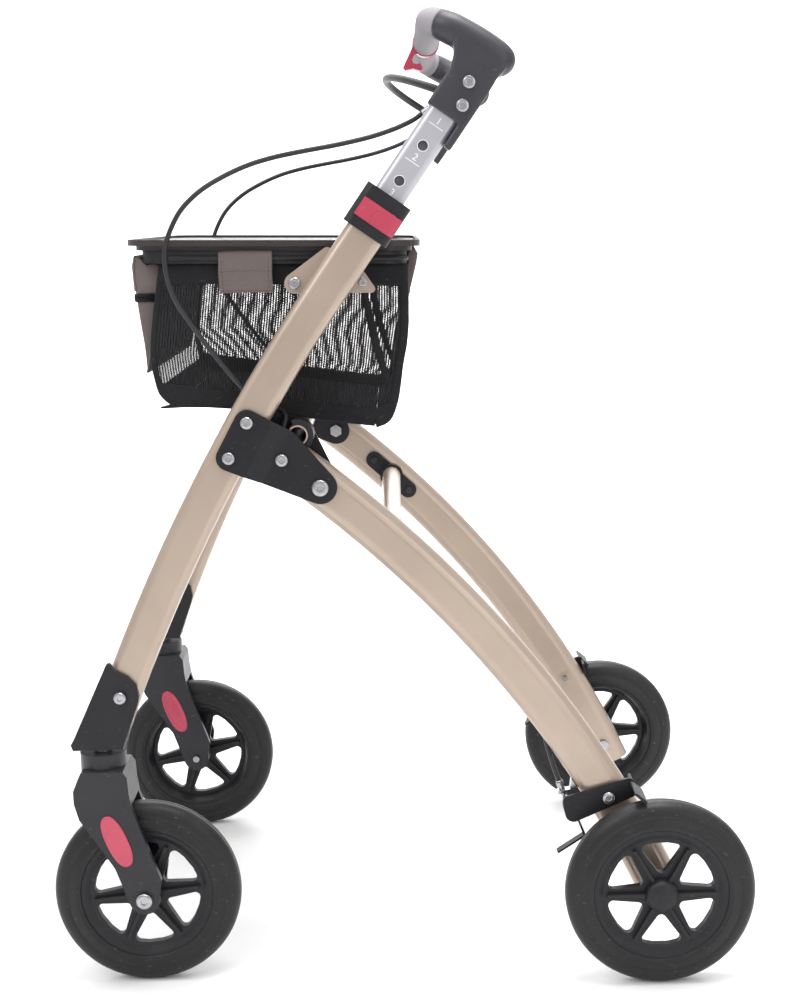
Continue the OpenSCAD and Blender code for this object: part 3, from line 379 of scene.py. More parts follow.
class Effects:
    """The shader groups that several finishes share."""

    def __init__(self) -> None:
        """Builds the groups."""
        self.grain = self._grain()
        self.drift = self._drift()
        self.dust = self._dust()
        self.weave = self._weave()
        self.knit = self._knit()

    def _grain(self) -> bpy.types.NodeTree:
        """Fine moulded or sprayed grain with larger, softer waves under it."""
        g, i, out = new_group("Surface grain", {"Scale": 2500.0, "Waves": 60.0},
                              {"Height": "NodeSocketFloat", "Fine": "NodeSocketFloat", "Broad": "NodeSocketFloat"})
        at = g.add("ShaderNodeTexCoord").outputs["Object"]
        fine = g.add("ShaderNodeTexNoise", {"Vector": at, "Scale": i["Scale"], "Detail": 3.0}).outputs[0]
        broad = g.add("ShaderNodeTexNoise", {"Vector": at, "Scale": i["Waves"], "Detail": 4.0}).outputs[0]
        height = g.math("ADD", fine, g.math("MULTIPLY", broad, 0.6))
        for key, value in (("Height", height), ("Fine", fine), ("Broad", broad)):
            g.tree.links.new(value, out.inputs[key])
        return g.tree

    def _drift(self) -> bpy.types.NodeTree:
        """A slow change between two colours."""
        g, i, out = new_group("Colour drift", {"Colour": (0.5, 0.5, 0.5, 1.0), "Second": (0.4, 0.4, 0.4, 1.0),
                                               "Scale": 12.0, "Spread": 3.0}, {"Colour": "NodeSocketColor"})
        at = g.add("ShaderNodeTexCoord").outputs["Object"]
        cloud = g.add("ShaderNodeTexNoise", {"Vector": at, "Scale": i["Scale"], "Detail": 5.0}).outputs[0]
        share = g.math("MULTIPLY_ADD", g.math("SUBTRACT", cloud, 0.5), i["Spread"], 0.5)
        clamp = g.add("ShaderNodeClamp", {0: share}).outputs[0]
        g.tree.links.new(g.blend(clamp, i["Colour"], i["Second"]), out.inputs["Colour"])
        return g.tree

    def _dust(self) -> bpy.types.NodeTree:
        """Fine dust on what faces up, and light scuffs."""
        g, i, out = new_group("Dust and scuffs", {"Colour": (0.5, 0.5, 0.5, 1.0), "Dust": (0.4, 0.38, 0.35, 1.0),
                                                  "Amount": 0.1, "Scuffs": 0.1, "Roughness": 0.4},
                              {"Colour": "NodeSocketColor", "Roughness": "NodeSocketFloat"})
        at = g.add("ShaderNodeTexCoord").outputs["Object"]
        up = g.add("ShaderNodeSeparateXYZ", {0: g.add("ShaderNodeNewGeometry").outputs["Normal"]}).outputs[2]
        cloud = g.add("ShaderNodeTexNoise", {"Vector": at, "Scale": 55.0, "Detail": 6.0}).outputs[0]
        lies = g.math("MULTIPLY", g.math("MAXIMUM", up, 0.12), g.math("MULTIPLY", cloud, i["Amount"]))
        stretched = g.add("ShaderNodeMapping", {"Vector": at, "Scale": (900.0, 120.0, 260.0),
                                                "Rotation": (0.6, 0.2, 0.9)}).outputs[0]
        lines = g.add("ShaderNodeTexNoise", {"Vector": stretched, "Scale": 1.0, "Detail": 2.0}).outputs[0]
        scuff = g.math("MULTIPLY", g.math("MAXIMUM", g.math("SUBTRACT", lines, 0.66), 0.0), i["Scuffs"])
        share = g.add("ShaderNodeClamp", {0: g.math("ADD", lies, g.math("MULTIPLY", scuff, 3.0))}).outputs[0]
        g.tree.links.new(g.blend(share, i["Colour"], i["Dust"]), out.inputs["Colour"])
        rough = g.add("ShaderNodeClamp", {0: g.math("ADD", i["Roughness"], g.math("ADD", share, scuff))}).outputs[0]
        g.tree.links.new(rough, out.inputs["Roughness"])
        return g.tree

    def _weave(self) -> bpy.types.NodeTree:
        """Plain or twill weave on the cloth's own UVs."""
        g, i, out = new_group("Twill weave", {"Pitch": 0.0011, "Slant": 1.0},
                              {"Height": "NodeSocketFloat", "Shade": "NodeSocketFloat"})
        uv = g.add("ShaderNodeSeparateXYZ", {0: g.add("ShaderNodeTexCoord").outputs["UV"]})
        u, v = (g.math("DIVIDE", uv.outputs[k], i["Pitch"]) for k in (0, 1))
        twill = g.math("SINE", g.math("MULTIPLY", g.math("ADD", u, g.math("MULTIPLY", v, i["Slant"])), 6.2832))
        warp = g.math("SINE", g.math("MULTIPLY", g.math("SUBTRACT", u, v), 6.2832))
        raised = g.math("MULTIPLY_ADD", g.math("ADD", twill, g.math("MULTIPLY", warp, 0.5)), 0.33, 0.5)
        uv = g.add("ShaderNodeTexCoord").outputs["UV"]
        fuzz = g.add("ShaderNodeTexNoise", {"Vector": uv, "Scale": 900.0}).outputs[0]
        g.tree.links.new(g.math("MULTIPLY_ADD", fuzz, 0.35, raised), out.inputs["Height"])
        g.tree.links.new(g.math("MULTIPLY_ADD", fuzz, 0.5, raised), out.inputs["Shade"])
        return g.tree

    def _knit(self) -> bpy.types.NodeTree:
        """Open knitted mesh: ribs along the cloth with small bars between them, on its own UVs."""
        g, i, out = new_group("Open knit", {"Pitch": 0.0027, "Rib": 0.55, "Bar": 0.3, "Tangle": 0.5},
                              {"Cover": "NodeSocketFloat", "Height": "NodeSocketFloat"})
        at = g.add("ShaderNodeTexCoord").outputs["UV"]
        wobble = g.add("ShaderNodeTexNoise", {"Vector": at, "Scale": 120.0, "Detail": 2.0}).outputs[0]
        uv = g.add("ShaderNodeSeparateXYZ", {0: at})
        u = g.math("ADD", g.math("DIVIDE", uv.outputs[0], i["Pitch"]), g.math("MULTIPLY", wobble, i["Tangle"]))
        cell = g.math("FLOOR", u)
        v = g.math("ADD", g.math("DIVIDE", uv.outputs[1], g.math("MULTIPLY", i["Pitch"], 0.8)),
                   g.math("MULTIPLY", g.math("MODULO", cell, 2.0), 0.5))
        rib = g.math("ABSOLUTE", g.math("SUBTRACT", g.math("FRACT", u), 0.5))
        bar = g.math("ABSOLUTE", g.math("SUBTRACT", g.math("FRACT", v), 0.5))
        on_rib = g.math("GREATER_THAN", i["Rib"], g.math("MULTIPLY", rib, 2.0))
        on_bar = g.math("GREATER_THAN", i["Bar"], g.math("MULTIPLY", bar, 2.0))
        g.tree.links.new(g.math("MAXIMUM", on_rib, on_bar), out.inputs["Cover"])
        round_rib = g.math("SUBTRACT", 1.0, g.math("MULTIPLY", rib, g.math("MULTIPLY", rib, 4.0)))
        g.tree.links.new(g.math("MULTIPLY_ADD", bar, -0.4, round_rib), out.inputs["Height"])
        return g.tree


class Surface(Enum):
    """What a finish has on its surface."""

    MOULDED = "moulded"
    WOVEN = "woven"
    KNIT = "knit"


@dataclass(frozen=True)
class Finish:
    """A finish: its colours, gloss and fine surface."""

    name: str
    colour: Colour
    second: Colour
    roughness: float = 0.4
    metallic: float = 0.0
    coat: float = 0.0
    sheen: float = 0.0
    shine: float = 0.5
    grain: float = 2500.0
    waves: float = 60.0
    bump: float = 0.05
    depth: float = 0.0002
    flake: float = 0.0
    dust: float = 0.06
    scuffs: float = 0.2
    surface: Surface = Surface.MOULDED
    pitch: float = 0.0011
    rib: float = 0.55
    bar: float = 0.3

    def material(self, effects: Effects) -> bpy.types.Material:
        """Builds the finish's material.

        Args:
            effects: The shared shader groups.

        Returns:
            The material.
        """
        made = bpy.data.materials.new(self.name)
        made.use_nodes = True
        g = Graph(made.node_tree)
        shader = made.node_tree.nodes["Principled BSDF"]
        shader.inputs["Metallic"].default_value = self.metallic
        shader.inputs["Coat Weight"].default_value = self.coat
        shader.inputs["Coat Roughness"].default_value = 0.12
        shader.inputs["Sheen Weight"].default_value = self.sheen
        shader.inputs["Specular IOR Level"].default_value = self.shine
        shader.inputs["Sheen Roughness"].default_value = 0.4
        tint = g.add("ShaderNodeGroup", {}, node_tree=effects.drift)
        tint.inputs["Colour"].default_value = (*self.colour, 1)
        tint.inputs["Second"].default_value = (*self.second, 1)
        grain = g.add("ShaderNodeGroup", {"Scale": self.grain, "Waves": self.waves}, node_tree=effects.grain)
        colour, height, strength = tint.outputs[0], grain.outputs["Height"], self.bump
        if self.flake:
            light = (*[min(1.0, c * (1 + self.flake)) for c in self.colour], 1)
            colour = g.blend(g.math("POWER", grain.outputs["Fine"], 3.0), colour, light)
        if self.surface is Surface.WOVEN:
            weave = g.add("ShaderNodeGroup", {"Pitch": self.pitch}, node_tree=effects.weave)
            dark = (*[c * 0.45 for c in self.colour], 1)
            colour = g.blend(weave.outputs["Shade"], dark, colour)
            height = weave.outputs["Height"]
        if self.surface is Surface.KNIT:
            knit = g.add("ShaderNodeGroup", {"Pitch": self.pitch, "Rib": self.rib, "Bar": self.bar},
                         node_tree=effects.knit)
            made.node_tree.links.new(knit.outputs["Cover"], shader.inputs["Alpha"])
            height = knit.outputs["Height"]
        dust = g.add("ShaderNodeGroup", {"Colour": colour, "Amount": self.dust, "Scuffs": self.scuffs},
                     node_tree=effects.dust)
        base = g.math("MULTIPLY_ADD", grain.outputs["Broad"], 0.12, self.roughness - 0.06)
        made.node_tree.links.new(base, dust.inputs["Roughness"])
        made.node_tree.links.new(dust.outputs["Colour"], shader.inputs["Base Color"])
        made.node_tree.links.new(dust.outputs["Roughness"], shader.inputs["Roughness"])
        bump = g.add("ShaderNodeBump", {"Height": height, "Strength": strength, "Distance": self.depth})
        made.node_tree.links.new(bump.outputs[0], shader.inputs["Normal"])
        made.diffuse_color = (*self.colour, 1)
        return made


FINISHES = {
    "champagne_paint": Finish("Champagne paint", (0.425, 0.34, 0.275), (0.39, 0.31, 0.25), 0.33, 0.5, 0.3,
                              grain=5200, bump=0.06, flake=0.35, dust=0.03, scuffs=0.05),
    "black_metal": Finish("Black powder coat", (0.010, 0.0095, 0.012), (0.014, 0.013, 0.016), 0.42, 0.0, shine=0.25,
                          grain=1800, bump=0.12, dust=0.05),
    "black_plastic": Finish("Black moulding", (0.012, 0.0115, 0.014), (0.016, 0.0155, 0.018), 0.44, shine=0.28,
                            grain=2200, bump=0.10, dust=0.05),
    "fork_plastic": Finish("Fork moulding", (0.016, 0.015, 0.019), (0.021, 0.020, 0.024), 0.36, shine=0.35,
                           grain=2600, bump=0.08, dust=0.05),
    "silver_tube": Finish("Anodised tube", (0.50, 0.49, 0.53), (0.46, 0.45, 0.49), 0.36, 0.6,
                          grain=3000, bump=0.03, dust=0.02, scuffs=0.4),
    "steel": Finish("Zinc plated steel", (0.45, 0.45, 0.47), (0.36, 0.36, 0.38), 0.26, 1.0,
                    grain=1600, bump=0.05, dust=0.03, scuffs=0.4),
    "black_screw": Finish("Blackened screw", (0.03, 0.03, 0.034), (0.04, 0.04, 0.044), 0.3, 0.6,
                          grain=1600, bump=0.05),
    "bright_fitting": Finish("Bright fitting", (0.40, 0.40, 0.42), (0.34, 0.34, 0.36), 0.18, 1.0,
                             grain=900, bump=0.02, dust=0.02),
    "grip_plastic": Finish("Grip moulding", (0.032, 0.030, 0.038), (0.040, 0.038, 0.047), 0.40, shine=0.45,
                           grain=1500, bump=0.16, depth=0.0003, dust=0.06),
    "soft_sleeve": Finish("Foam sleeve", (0.29, 0.275, 0.295), (0.32, 0.305, 0.325), 0.75, shine=0.2,
                          grain=900, bump=0.30, depth=0.0004, dust=0.10),
    "red_plastic": Finish("Red moulding", (0.47, 0.050, 0.095), (0.42, 0.042, 0.082), 0.32, 0.0, 0.1, shine=0.4,
                          grain=1800, bump=0.06, dust=0.03),
    "tyre_rubber": Finish("Tyre rubber", (0.009, 0.0085, 0.010), (0.013, 0.0125, 0.014), 0.42, shine=0.3,
                          grain=1200, bump=0.16, depth=0.0003, dust=0.08, scuffs=0.4),
    "cable_jacket": Finish("Cable jacket", (0.016, 0.015, 0.018), (0.022, 0.021, 0.024), 0.36, shine=0.4,
                           grain=1400, bump=0.08, dust=0.05),
    "tray_plastic": Finish("Tray moulding", (0.045, 0.038, 0.038), (0.038, 0.032, 0.032), 0.36, shine=0.3,
                           grain=2600, bump=0.03, dust=0.04),
    "basket_mesh": Finish("Knitted mesh", (0.012, 0.012, 0.014), (0.02, 0.02, 0.022), 0.7, shine=0.2,
                          bump=0.5, depth=0.0006, surface=Surface.KNIT, pitch=0.0027, rib=0.52, bar=0.34),
    "taupe_fabric": Finish("Taupe twill", (0.20, 0.165, 0.158), (0.175, 0.144, 0.138), 0.8, sheen=0.08, shine=0.2,
                           bump=0.6, depth=0.0006, surface=Surface.WOVEN, pitch=0.0019, dust=0.06),
    "black_cloth": Finish("Black cloth", (0.013, 0.012, 0.014), (0.019, 0.018, 0.021), 0.75, sheen=0.03, shine=0.2,
                          bump=0.6, depth=0.0005, surface=Surface.WOVEN, pitch=0.0022, dust=0.05),
    "taupe_thread": Finish("Taupe thread", (0.075, 0.060, 0.056), (0.065, 0.052, 0.048), 0.7, shine=0.3),
    "reflector": Finish("Reflector lens", (0.50, 0.050, 0.095), (0.42, 0.035, 0.075), 0.2, 0.0, 0.3,
                        grain=420, waves=900, bump=0.9, depth=0.0009, dust=0.03),
    "mark_white": Finish("White print", (0.86, 0.86, 0.88), (0.82, 0.82, 0.84), 0.5, bump=0.02, dust=0.02),
}


# The brake shoes are coated black, though the record counts them as steel.
DARK_PARTS = {"brake_shoe_left": "black_metal", "brake_shoe_right": "black_metal"}


class Workshop:
    """Holds the finishes and puts pieces on their bodies."""

    def __init__(self) -> None:
        """Builds the shared groups; materials come when first used."""
        self.effects = Effects()
        self.materials: dict[str, bpy.types.Material] = {}

    def material(self, slot: str) -> bpy.types.Material:
        """Gives the material of a finish."""
        if slot not in self.materials:
            self.materials[slot] = FINISHES[slot].material(self.effects)
        return self.materials[slot]

    def dress(self, obj: bpy.types.Object, slot: str) -> None:
        """Gives the whole object one finish."""
        obj.data.materials.clear()
        obj.data.materials.append(self.material(slot))

    def fit(self, obj: bpy.types.Object, body: str, slot: str, record_slot: str | None = None,
            replaces: Sequence[str] = ()) -> bpy.types.Object:
        """Finishes a new piece and puts it on its body.

        Args:
            obj: The piece.
            body: The body that it rides on.
            slot: Its finish.
            record_slot: The record's material slot, where that isn't the finish; not used.
            replaces: The parts that it stands for.

        Returns:
            The piece.
        """
        self.dress(obj, slot)
        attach(obj, body)
        record_slot or slot
        if replaces:
            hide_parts(*replaces)
        LOG.info("%s: %d faces on %s", obj.name, len(obj.data.polygons), body)
        return obj

    def dress_frame(self) -> None:
        """Gives every part of the frame its finish, by the record's slot."""
        for part in frame["record"]["subparts"]:
            node = frame["nodes"][part["node"]]
            slot = DARK_PARTS.get(part["node"], part["material_slot"])
            for index in range(max(1, len(node.material_slots))):
                if node.material_slots:
                    node.material_slots[index].material = self.material(slot)
                else:
                    node.data.materials.append(self.material(slot))


# ---- Sub-assemblies ----
def stitch_tree() -> bpy.types.NodeTree:
    """Builds the tree that sets stitches along a line.

    Returns:
        A geometry tree with the inputs Spacing, Length, Width and Thread.
    """
    tree = bpy.data.node_groups.new("Stitch run", "GeometryNodeTree")
    tree.interface.new_socket("Geometry", in_out="INPUT", socket_type="NodeSocketGeometry")
    for key, value in (("Spacing", 0.003), ("Length", 0.0021), ("Width", 0.0004)):
        tree.interface.new_socket(key, in_out="INPUT", socket_type="NodeSocketFloat").default_value = value
    tree.interface.new_socket("Thread", in_out="INPUT", socket_type="NodeSocketMaterial")
    tree.interface.new_socket("Geometry", in_out="OUTPUT", socket_type="NodeSocketGeometry")
    g = Graph(tree)
    start, end = g.add("NodeGroupInput").outputs, g.add("NodeGroupOutput")
    line = g.add("GeometryNodeMeshToCurve", {0: start["Geometry"]}).outputs[0]
    spaced = g.add("GeometryNodeResampleCurve", {"Curve": line}, mode="LENGTH")
    tree.links.new(start["Spacing"], spaced.inputs["Length"])
    size = g.add("ShaderNodeCombineXYZ", {0: start["Width"], 1: start["Width"], 2: start["Length"]}).outputs[0]
    bead = g.add("GeometryNodeMeshIcoSphere", {"Radius": 0.5, "Subdivisions": 1}).outputs[0]
    tangent = g.add("GeometryNodeInputTangent").outputs[0]
    turn = g.add("FunctionNodeAlignRotationToVector", {"Vector": tangent}, axis="Z").outputs[0]
    put = g.add("GeometryNodeInstanceOnPoints", {"Points": spaced.outputs[0], "Instance": bead,
                                                 "Rotation": turn, "Scale": size}).outputs[0]
    real = g.add("GeometryNodeRealizeInstances", {0: put}).outputs[0]
    painted = g.add("GeometryNodeSetMaterial", {"Geometry": real, "Material": start["Thread"]}).outputs[0]
    tree.links.new(painted, end.inputs[0])
    return tree


def stitches(name: str, lines: Sequence[Sequence[Point]], thread: bpy.types.Material, spacing: float = 0.003,
             length: float = 0.0021, width: float = 0.0006) -> bpy.types.Object:
    """Sets stitches, teeth or beads along lines.

    Args:
        name: The piece's name.
        lines: Each line's points.
        thread: The thread's material.
        spacing: From one stitch to the next.
        length: Each stitch's length along the line.
        width: Each stitch's width.

    Returns:
        The stitches as one plain mesh.
    """
    tree = bpy.data.node_groups.get("Stitch run") or stitch_tree()
    mesh = bpy.data.meshes.new(name)
    verts, edges = [], []
    for line in lines:
        edges += [(len(verts) + k, len(verts) + k + 1) for k in range(len(line) - 1)]
        verts += [tuple(p) for p in line]
    mesh.from_pydata(verts, edges, [])
    obj = bpy.data.objects.new(name, mesh)
    bpy.context.scene.collection.objects.link(obj)
    mod = obj.modifiers.new("stitches", "NODES")
    mod.node_group = tree
    values = {"Spacing": spacing, "Length": length, "Width": width, "Thread": thread}
    for item in tree.interface.items_tree:
        if item.in_out == "INPUT" and item.name in values:
            mod[item.identifier] = values[item.name]
    return baked(obj)


def head_tree() -> bpy.types.NodeTree:
    """Builds the tree that sets a head on every point.

    Returns:
        A geometry tree with the inputs Head and Finish, which reads each point's turn and size.
    """
    tree = bpy.data.node_groups.new("Screw heads", "GeometryNodeTree")
    for key, kind in (("Geometry", "Geometry"), ("Head", "Object"), ("Finish", "Material")):
        tree.interface.new_socket(key, in_out="INPUT", socket_type=f"NodeSocket{kind}")
    tree.interface.new_socket("Geometry", in_out="OUTPUT", socket_type="NodeSocketGeometry")
    g = Graph(tree)
    start, end = g.add("NodeGroupInput").outputs, g.add("NodeGroupOutput")
    head = g.add("GeometryNodeObjectInfo", {"Object": start["Head"]}).outputs["Geometry"]
    angles = g.add("GeometryNodeInputNamedAttribute", {"Name": "turn"}, data_type="FLOAT_VECTOR").outputs["Attribute"]
    turn = g.add("FunctionNodeEulerToRotation", {"Euler": angles}).outputs[0]
    size = g.add("GeometryNodeInputNamedAttribute", {"Name": "size"}, data_type="FLOAT").outputs["Attribute"]
    put = g.add("GeometryNodeInstanceOnPoints", {"Points": start["Geometry"], "Instance": head,
                                                 "Rotation": turn, "Scale": size}).outputs[0]
    real = g.add("GeometryNodeRealizeInstances", {0: put}).outputs[0]
    painted = g.add("GeometryNodeSetMaterial", {"Geometry": real, "Material": start["Finish"]}).outputs[0]
    tree.links.new(painted, end.inputs[0])
    return tree


def set_heads(name: str, places: Sequence[tuple[Vector, float, int]], nominal: float, head: bpy.types.Object,
              finish: bpy.types.Material) -> bpy.types.Object:
    """Sets a screw head at each place.

    Args:
        name: The piece's name.
        places: Each head's middle, its radius and the side that it faces.
        nominal: The radius that the head was built at.
        head: The head, facing along X.
        finish: Its material.

    Returns:
        The heads as one plain mesh.
    """
    tree = bpy.data.node_groups.get("Screw heads") or head_tree()
    mesh = bpy.data.meshes.new(name)
    mesh.from_pydata([tuple(mid) for mid, _, _ in places], [], [])
    for key, kind in (("turn", "FLOAT_VECTOR"), ("size", "FLOAT")):
        mesh.attributes.new(key, kind, "POINT")
    for k, (mid, r, out) in enumerate(places):
        mesh.attributes["turn"].data[k].vector = (mid.y * 90, 0.0, math.pi if out < 0 else 0.0)
        mesh.attributes["size"].data[k].value = r / nominal
    obj = bpy.data.objects.new(name, mesh)
    bpy.context.scene.collection.objects.link(obj)
    mod = obj.modifiers.new("heads", "NODES")
    mod.node_group = tree
    values = {"Head": head, "Finish": finish}
    for item in tree.interface.items_tree:
        if item.in_out == "INPUT" and item.name in values:
            mod[item.identifier] = values[item.name]
    return baked(obj)


@dataclass
class Wheels:
    """The four tyres, with the groove and the moulded lines of their walls."""

    shop: Workshop
    groove_r: float = 80 * MM
    groove: float = 0.9 * MM
    line_r: float = 71.5 * MM

    def profile(self) -> list[Pair]:
        """Gives half of the tyre's outline and its mirror, as radius and distance along the axle."""
        h, r, s = WALKER.tyre_w / 2, WALKER.wheel_r, WALKER.rim_r
        half = [(s, h - 1.5 * MM), (s + 1.0 * MM, h - 0.6 * MM), (s + 2.2 * MM, h - 0.3 * MM),
                (self.line_r - 0.8 * MM, h - 0.3 * MM), (self.line_r, h + 0.3 * MM),
                (self.line_r + 0.8 * MM, h - 0.2 * MM),
                (self.groove_r - 1.4 * MM, h - 0.1 * MM), (self.groove_r - 0.6 * MM, h - self.groove),
                (self.groove_r + 0.6 * MM, h - self.groove), (self.groove_r + 1.4 * MM, h - 0.5 * MM),
                (r - 11 * MM, h - 0.9 * MM), (r - 8 * MM, h - 1.7 * MM), (r - 5.4 * MM, h - 3.0 * MM),
                (r - 3.2 * MM, h - 4.8 * MM), (r - 1.5 * MM, h - 7.2 * MM), (r - 0.5 * MM, h - 9.6 * MM),
                (r, h - 11.5 * MM), (r, 0.6 * MM), (r - 0.35 * MM, 0.0)]
        return half + [(p, -q) for p, q in reversed(half[:-1])]

    def build(self) -> None:
        """Builds a tyre for each wheel."""
        for side, sign in SIDES.items():
            for end, x, y in (("rear", WALKER.rear_x, WALKER.rear_y), ("front", WALKER.tube_x, WALKER.front_y)):
                tyre = lathe(f"tyre_{end}_{side}", self.profile(), sign * x, y, WALKER.wheel_r)
                self.shop.fit(tyre, f"{end}_wheel_{side}", "tyre_rubber", replaces=[f"{end}_tyre_{side}"])


@dataclass
class Forks:
    """The red lenses on both faces of each fork."""

    shop: Workshop
    face: float = 28 * MM
    middle: Pair = (-283.6 * MM, 157.8 * MM)
    half_long: float = 28.5 * MM
    half_wide: float = 10.8 * MM
    lean: float = math.radians(21.6)
    thick: float = 1.4 * MM
    fullness: float = 0.86

    def lens(self, name: str, x: float, out: int) -> bpy.types.Object:
        """Builds one crowned oval lens with a rim round it."""
        c, s = math.cos(self.lean), math.sin(self.lean)
        rings, n = ((1.0, 0.0), (1.0, 0.6), (0.95, 1.0), (0.86, 1.0), (0.80, 0.75), (0.5, 0.95), (0.2, 1.02)), 48
        verts = []
        for share, lift in rings:
            for k in range(n):
                a = 2 * math.pi * k / n
                u = self.half_wide * share * math.copysign(abs(math.cos(a)) ** self.fullness, math.cos(a))
                v = self.half_long * share * math.copysign(abs(math.sin(a)) ** self.fullness, math.sin(a))
                verts.append((x + out * lift * self.thick, self.middle[0] + u * c - v * s,
                              self.middle[1] + u * s + v * c))
        return face_outwards(make_object(name, verts, stack_faces(n, len(rings))))

    def build(self) -> None:
        """Builds the lenses."""
        for side, sign in SIDES.items():
            for place, out in (("outer", 1), ("inner", -1)):
                x = sign * WALKER.tube_x + sign * out * (self.face + 0.02 * MM)
                lens = self.lens(f"reflector_{place}_{side}", x, sign * out)
                self.shop.fit(lens, f"caster_{side}", "reflector", "red_plastic")


@dataclass
class Handlebar:
    """The two moulded handles with their rounded forms, and the marks on the height tubes."""

    shop: Workshop
    voxel: float = 1.4 * MM
    crook: tuple = ((214.5, 60.5, 944.0, 14.5), (217.5, 65, 941.8, 15.2), (219.3, 73, 937.8, 15.4),
                    (219.5, 86, 930.2, 15.6), (219.5, 98, 922.4, 15.8), (219.5, 110, 913.8, 15.8),
                    (219.5, 114.5, 909.4, 15.7))
    web: tuple = ((219, 88, 926, 14.6), (219, 93, 914, 15.6), (219, 95, 902, 16.0), (219, 92, 890, 15.8),
                  (219, 86, 880, 15.4))
    sleeve: tuple = ((192, 50.5, 948, 13.5), (200, 50.9, 947.9, 13.6), (206.5, 53.2, 947.1, 13.8),
                     (211.5, 56.8, 945.6, 14.1), (214.6, 60.6, 943.9, 14.3))
    marks: tuple = ((100.5, "1"), (60.8, "2"), (21.5, "3"))
    holes: tuple = (76.6, 37.2)
    face_x: float = 229.5 * MM
    clamp_half: float = 16 * MM

    def run(self, name: str, path: tuple, sign: int) -> bpy.types.Object:
        """Sweeps one of the handle's round runs, whose points give X, Y, Z and radius."""
        pts, widths = smooth_path([(sign * x * MM, y * MM, z * MM) for x, y, z, _ in path], 1.5 * MM), []
        for k in range(len(pts)):
            at = k / (len(pts) - 1) * (len(path) - 1)
            low = min(int(at), len(path) - 2)
            widths.append(mix(path[low][3], path[low + 1][3], at - low) * MM)
        return tube(name, pts, widths, 40)

    def clamp(self, sign: int) -> bpy.types.Object:
        """Builds the clamp round the height tube, with the tail behind it."""
        axis = WALKER.on_axis
        outline = [axis(112 * MM, 19 * MM), axis(112 * MM, -15.8 * MM), axis(87 * MM, -16.4 * MM),
                   axis(87 * MM, -24 * MM), axis(150 * MM, -24 * MM), (0.112, 0.892), (0.120, 0.900),
                   (0.113, 0.912), (0.092, 0.930), (0.076, 0.936), (0.072, 0.925), (0.072, 0.916),
                   axis(150 * MM, 19 * MM)]
        verts = [(sign * (WALKER.tube_x + x), y, z)
                 for x in (-self.clamp_half, self.clamp_half) for y, z in outline]
        return face_outwards(make_object("clamp", verts, stack_faces(len(outline), 2)))

    def handle(self, side: str, sign: int) -> bpy.types.Object:
        """Builds one handle: the clamp round the tube and the crook of the grip, as one soft form."""
        _, y, z, r = self.crook[-1]
        knob = lathe("knob", [(r * MM * math.cos(math.radians(a)), r * MM * math.sin(math.radians(a)))
                              for a in range(-90, 91, 10)], sign * self.crook[-1][0] * MM, y * MM, z * MM, 40)
        parts = [self.clamp(sign), self.run("crook", self.crook, sign), self.run("web", self.web, sign), knob]
        whole = joined(f"handle_moulding_{side}", parts)
        remesh = whole.modifiers.new("one form", "REMESH")
        remesh.mode, remesh.voxel_size = "VOXEL", self.voxel
        soft = whole.modifiers.new("soft edges", "SMOOTH")
        soft.factor, soft.iterations = 0.5, 9
        baked(whole)
        whole.data.shade_smooth()
        return whole

    def print_marks(self, sign: int) -> bpy.types.Object:
        """Builds the height numerals and the line under each."""
        parts = []
        for along, figure in self.marks:
            text = bpy.data.curves.new("figure", "FONT")
            text.body, text.size, text.extrude, text.align_x = figure, 9.5 * MM, 0.06 * MM, "CENTER"
            obj = bpy.data.objects.new("figure", text)
            bpy.context.scene.collection.objects.link(obj)
            bpy.context.view_layer.update()
            mesh = bpy.data.meshes.new_from_object(obj.evaluated_get(bpy.context.evaluated_depsgraph_get()))
            bpy.data.objects.remove(obj)
            figure_obj = bpy.data.objects.new("figure", mesh)
            bpy.context.scene.collection.objects.link(figure_obj)
            corners = [(x * MM, y * MM, z * MM) for x in (-8, 8) for y in (-2.6, -1.9) for z in (-0.06, 0.06)]
            bar = make_object("line", corners, [(0, 1, 3, 2), (4, 6, 7, 5), (0, 4, 5, 1), (2, 3, 7, 6),
                                                (0, 2, 6, 4), (1, 5, 7, 3)], smooth=False)
            y, z = WALKER.on_axis(along * MM, 0)
            lean = WALKER.tube_angle - math.pi / 2
            turn = Matrix(((0, 0, sign), (sign, 0, 0), (0, 1, 0))).to_4x4()
            place = Matrix.Translation((sign * (self.face_x + 0.05 * MM), y, z)) @ Matrix.Rotation(lean, 4, "X") @ turn
            for part in (figure_obj, bar):
                part.data.transform(place)
                parts.append(part)
        for along in self.holes:
            y, z = WALKER.on_axis(along * MM, 0)
            x = sign * self.face_x
            rim = [(r * MM, lift * sign * MM) for r, lift in ((4.9, -0.1), (4.9, 0.12), (5.5, 0.12), (5.5, -0.1))]
            parts.append(lathe("rim", rim, x, y, z, 40))
        return face_outwards(joined(f"height_marks_{'left' if sign > 0 else 'right'}", parts))

    def build(self) -> None:
        """Builds the handles and the marks."""
        for side, sign in SIDES.items():
            self.shop.fit(self.handle(side, sign), "handlebar", "grip_plastic", replaces=[f"handle_{side}"])
            self.shop.fit(self.print_marks(sign), "handlebar", "mark_white", "silver_tube")
            self.shop.fit(self.run(f"sleeve_bend_{side}", self.sleeve, sign), "handlebar", "soft_sleeve")


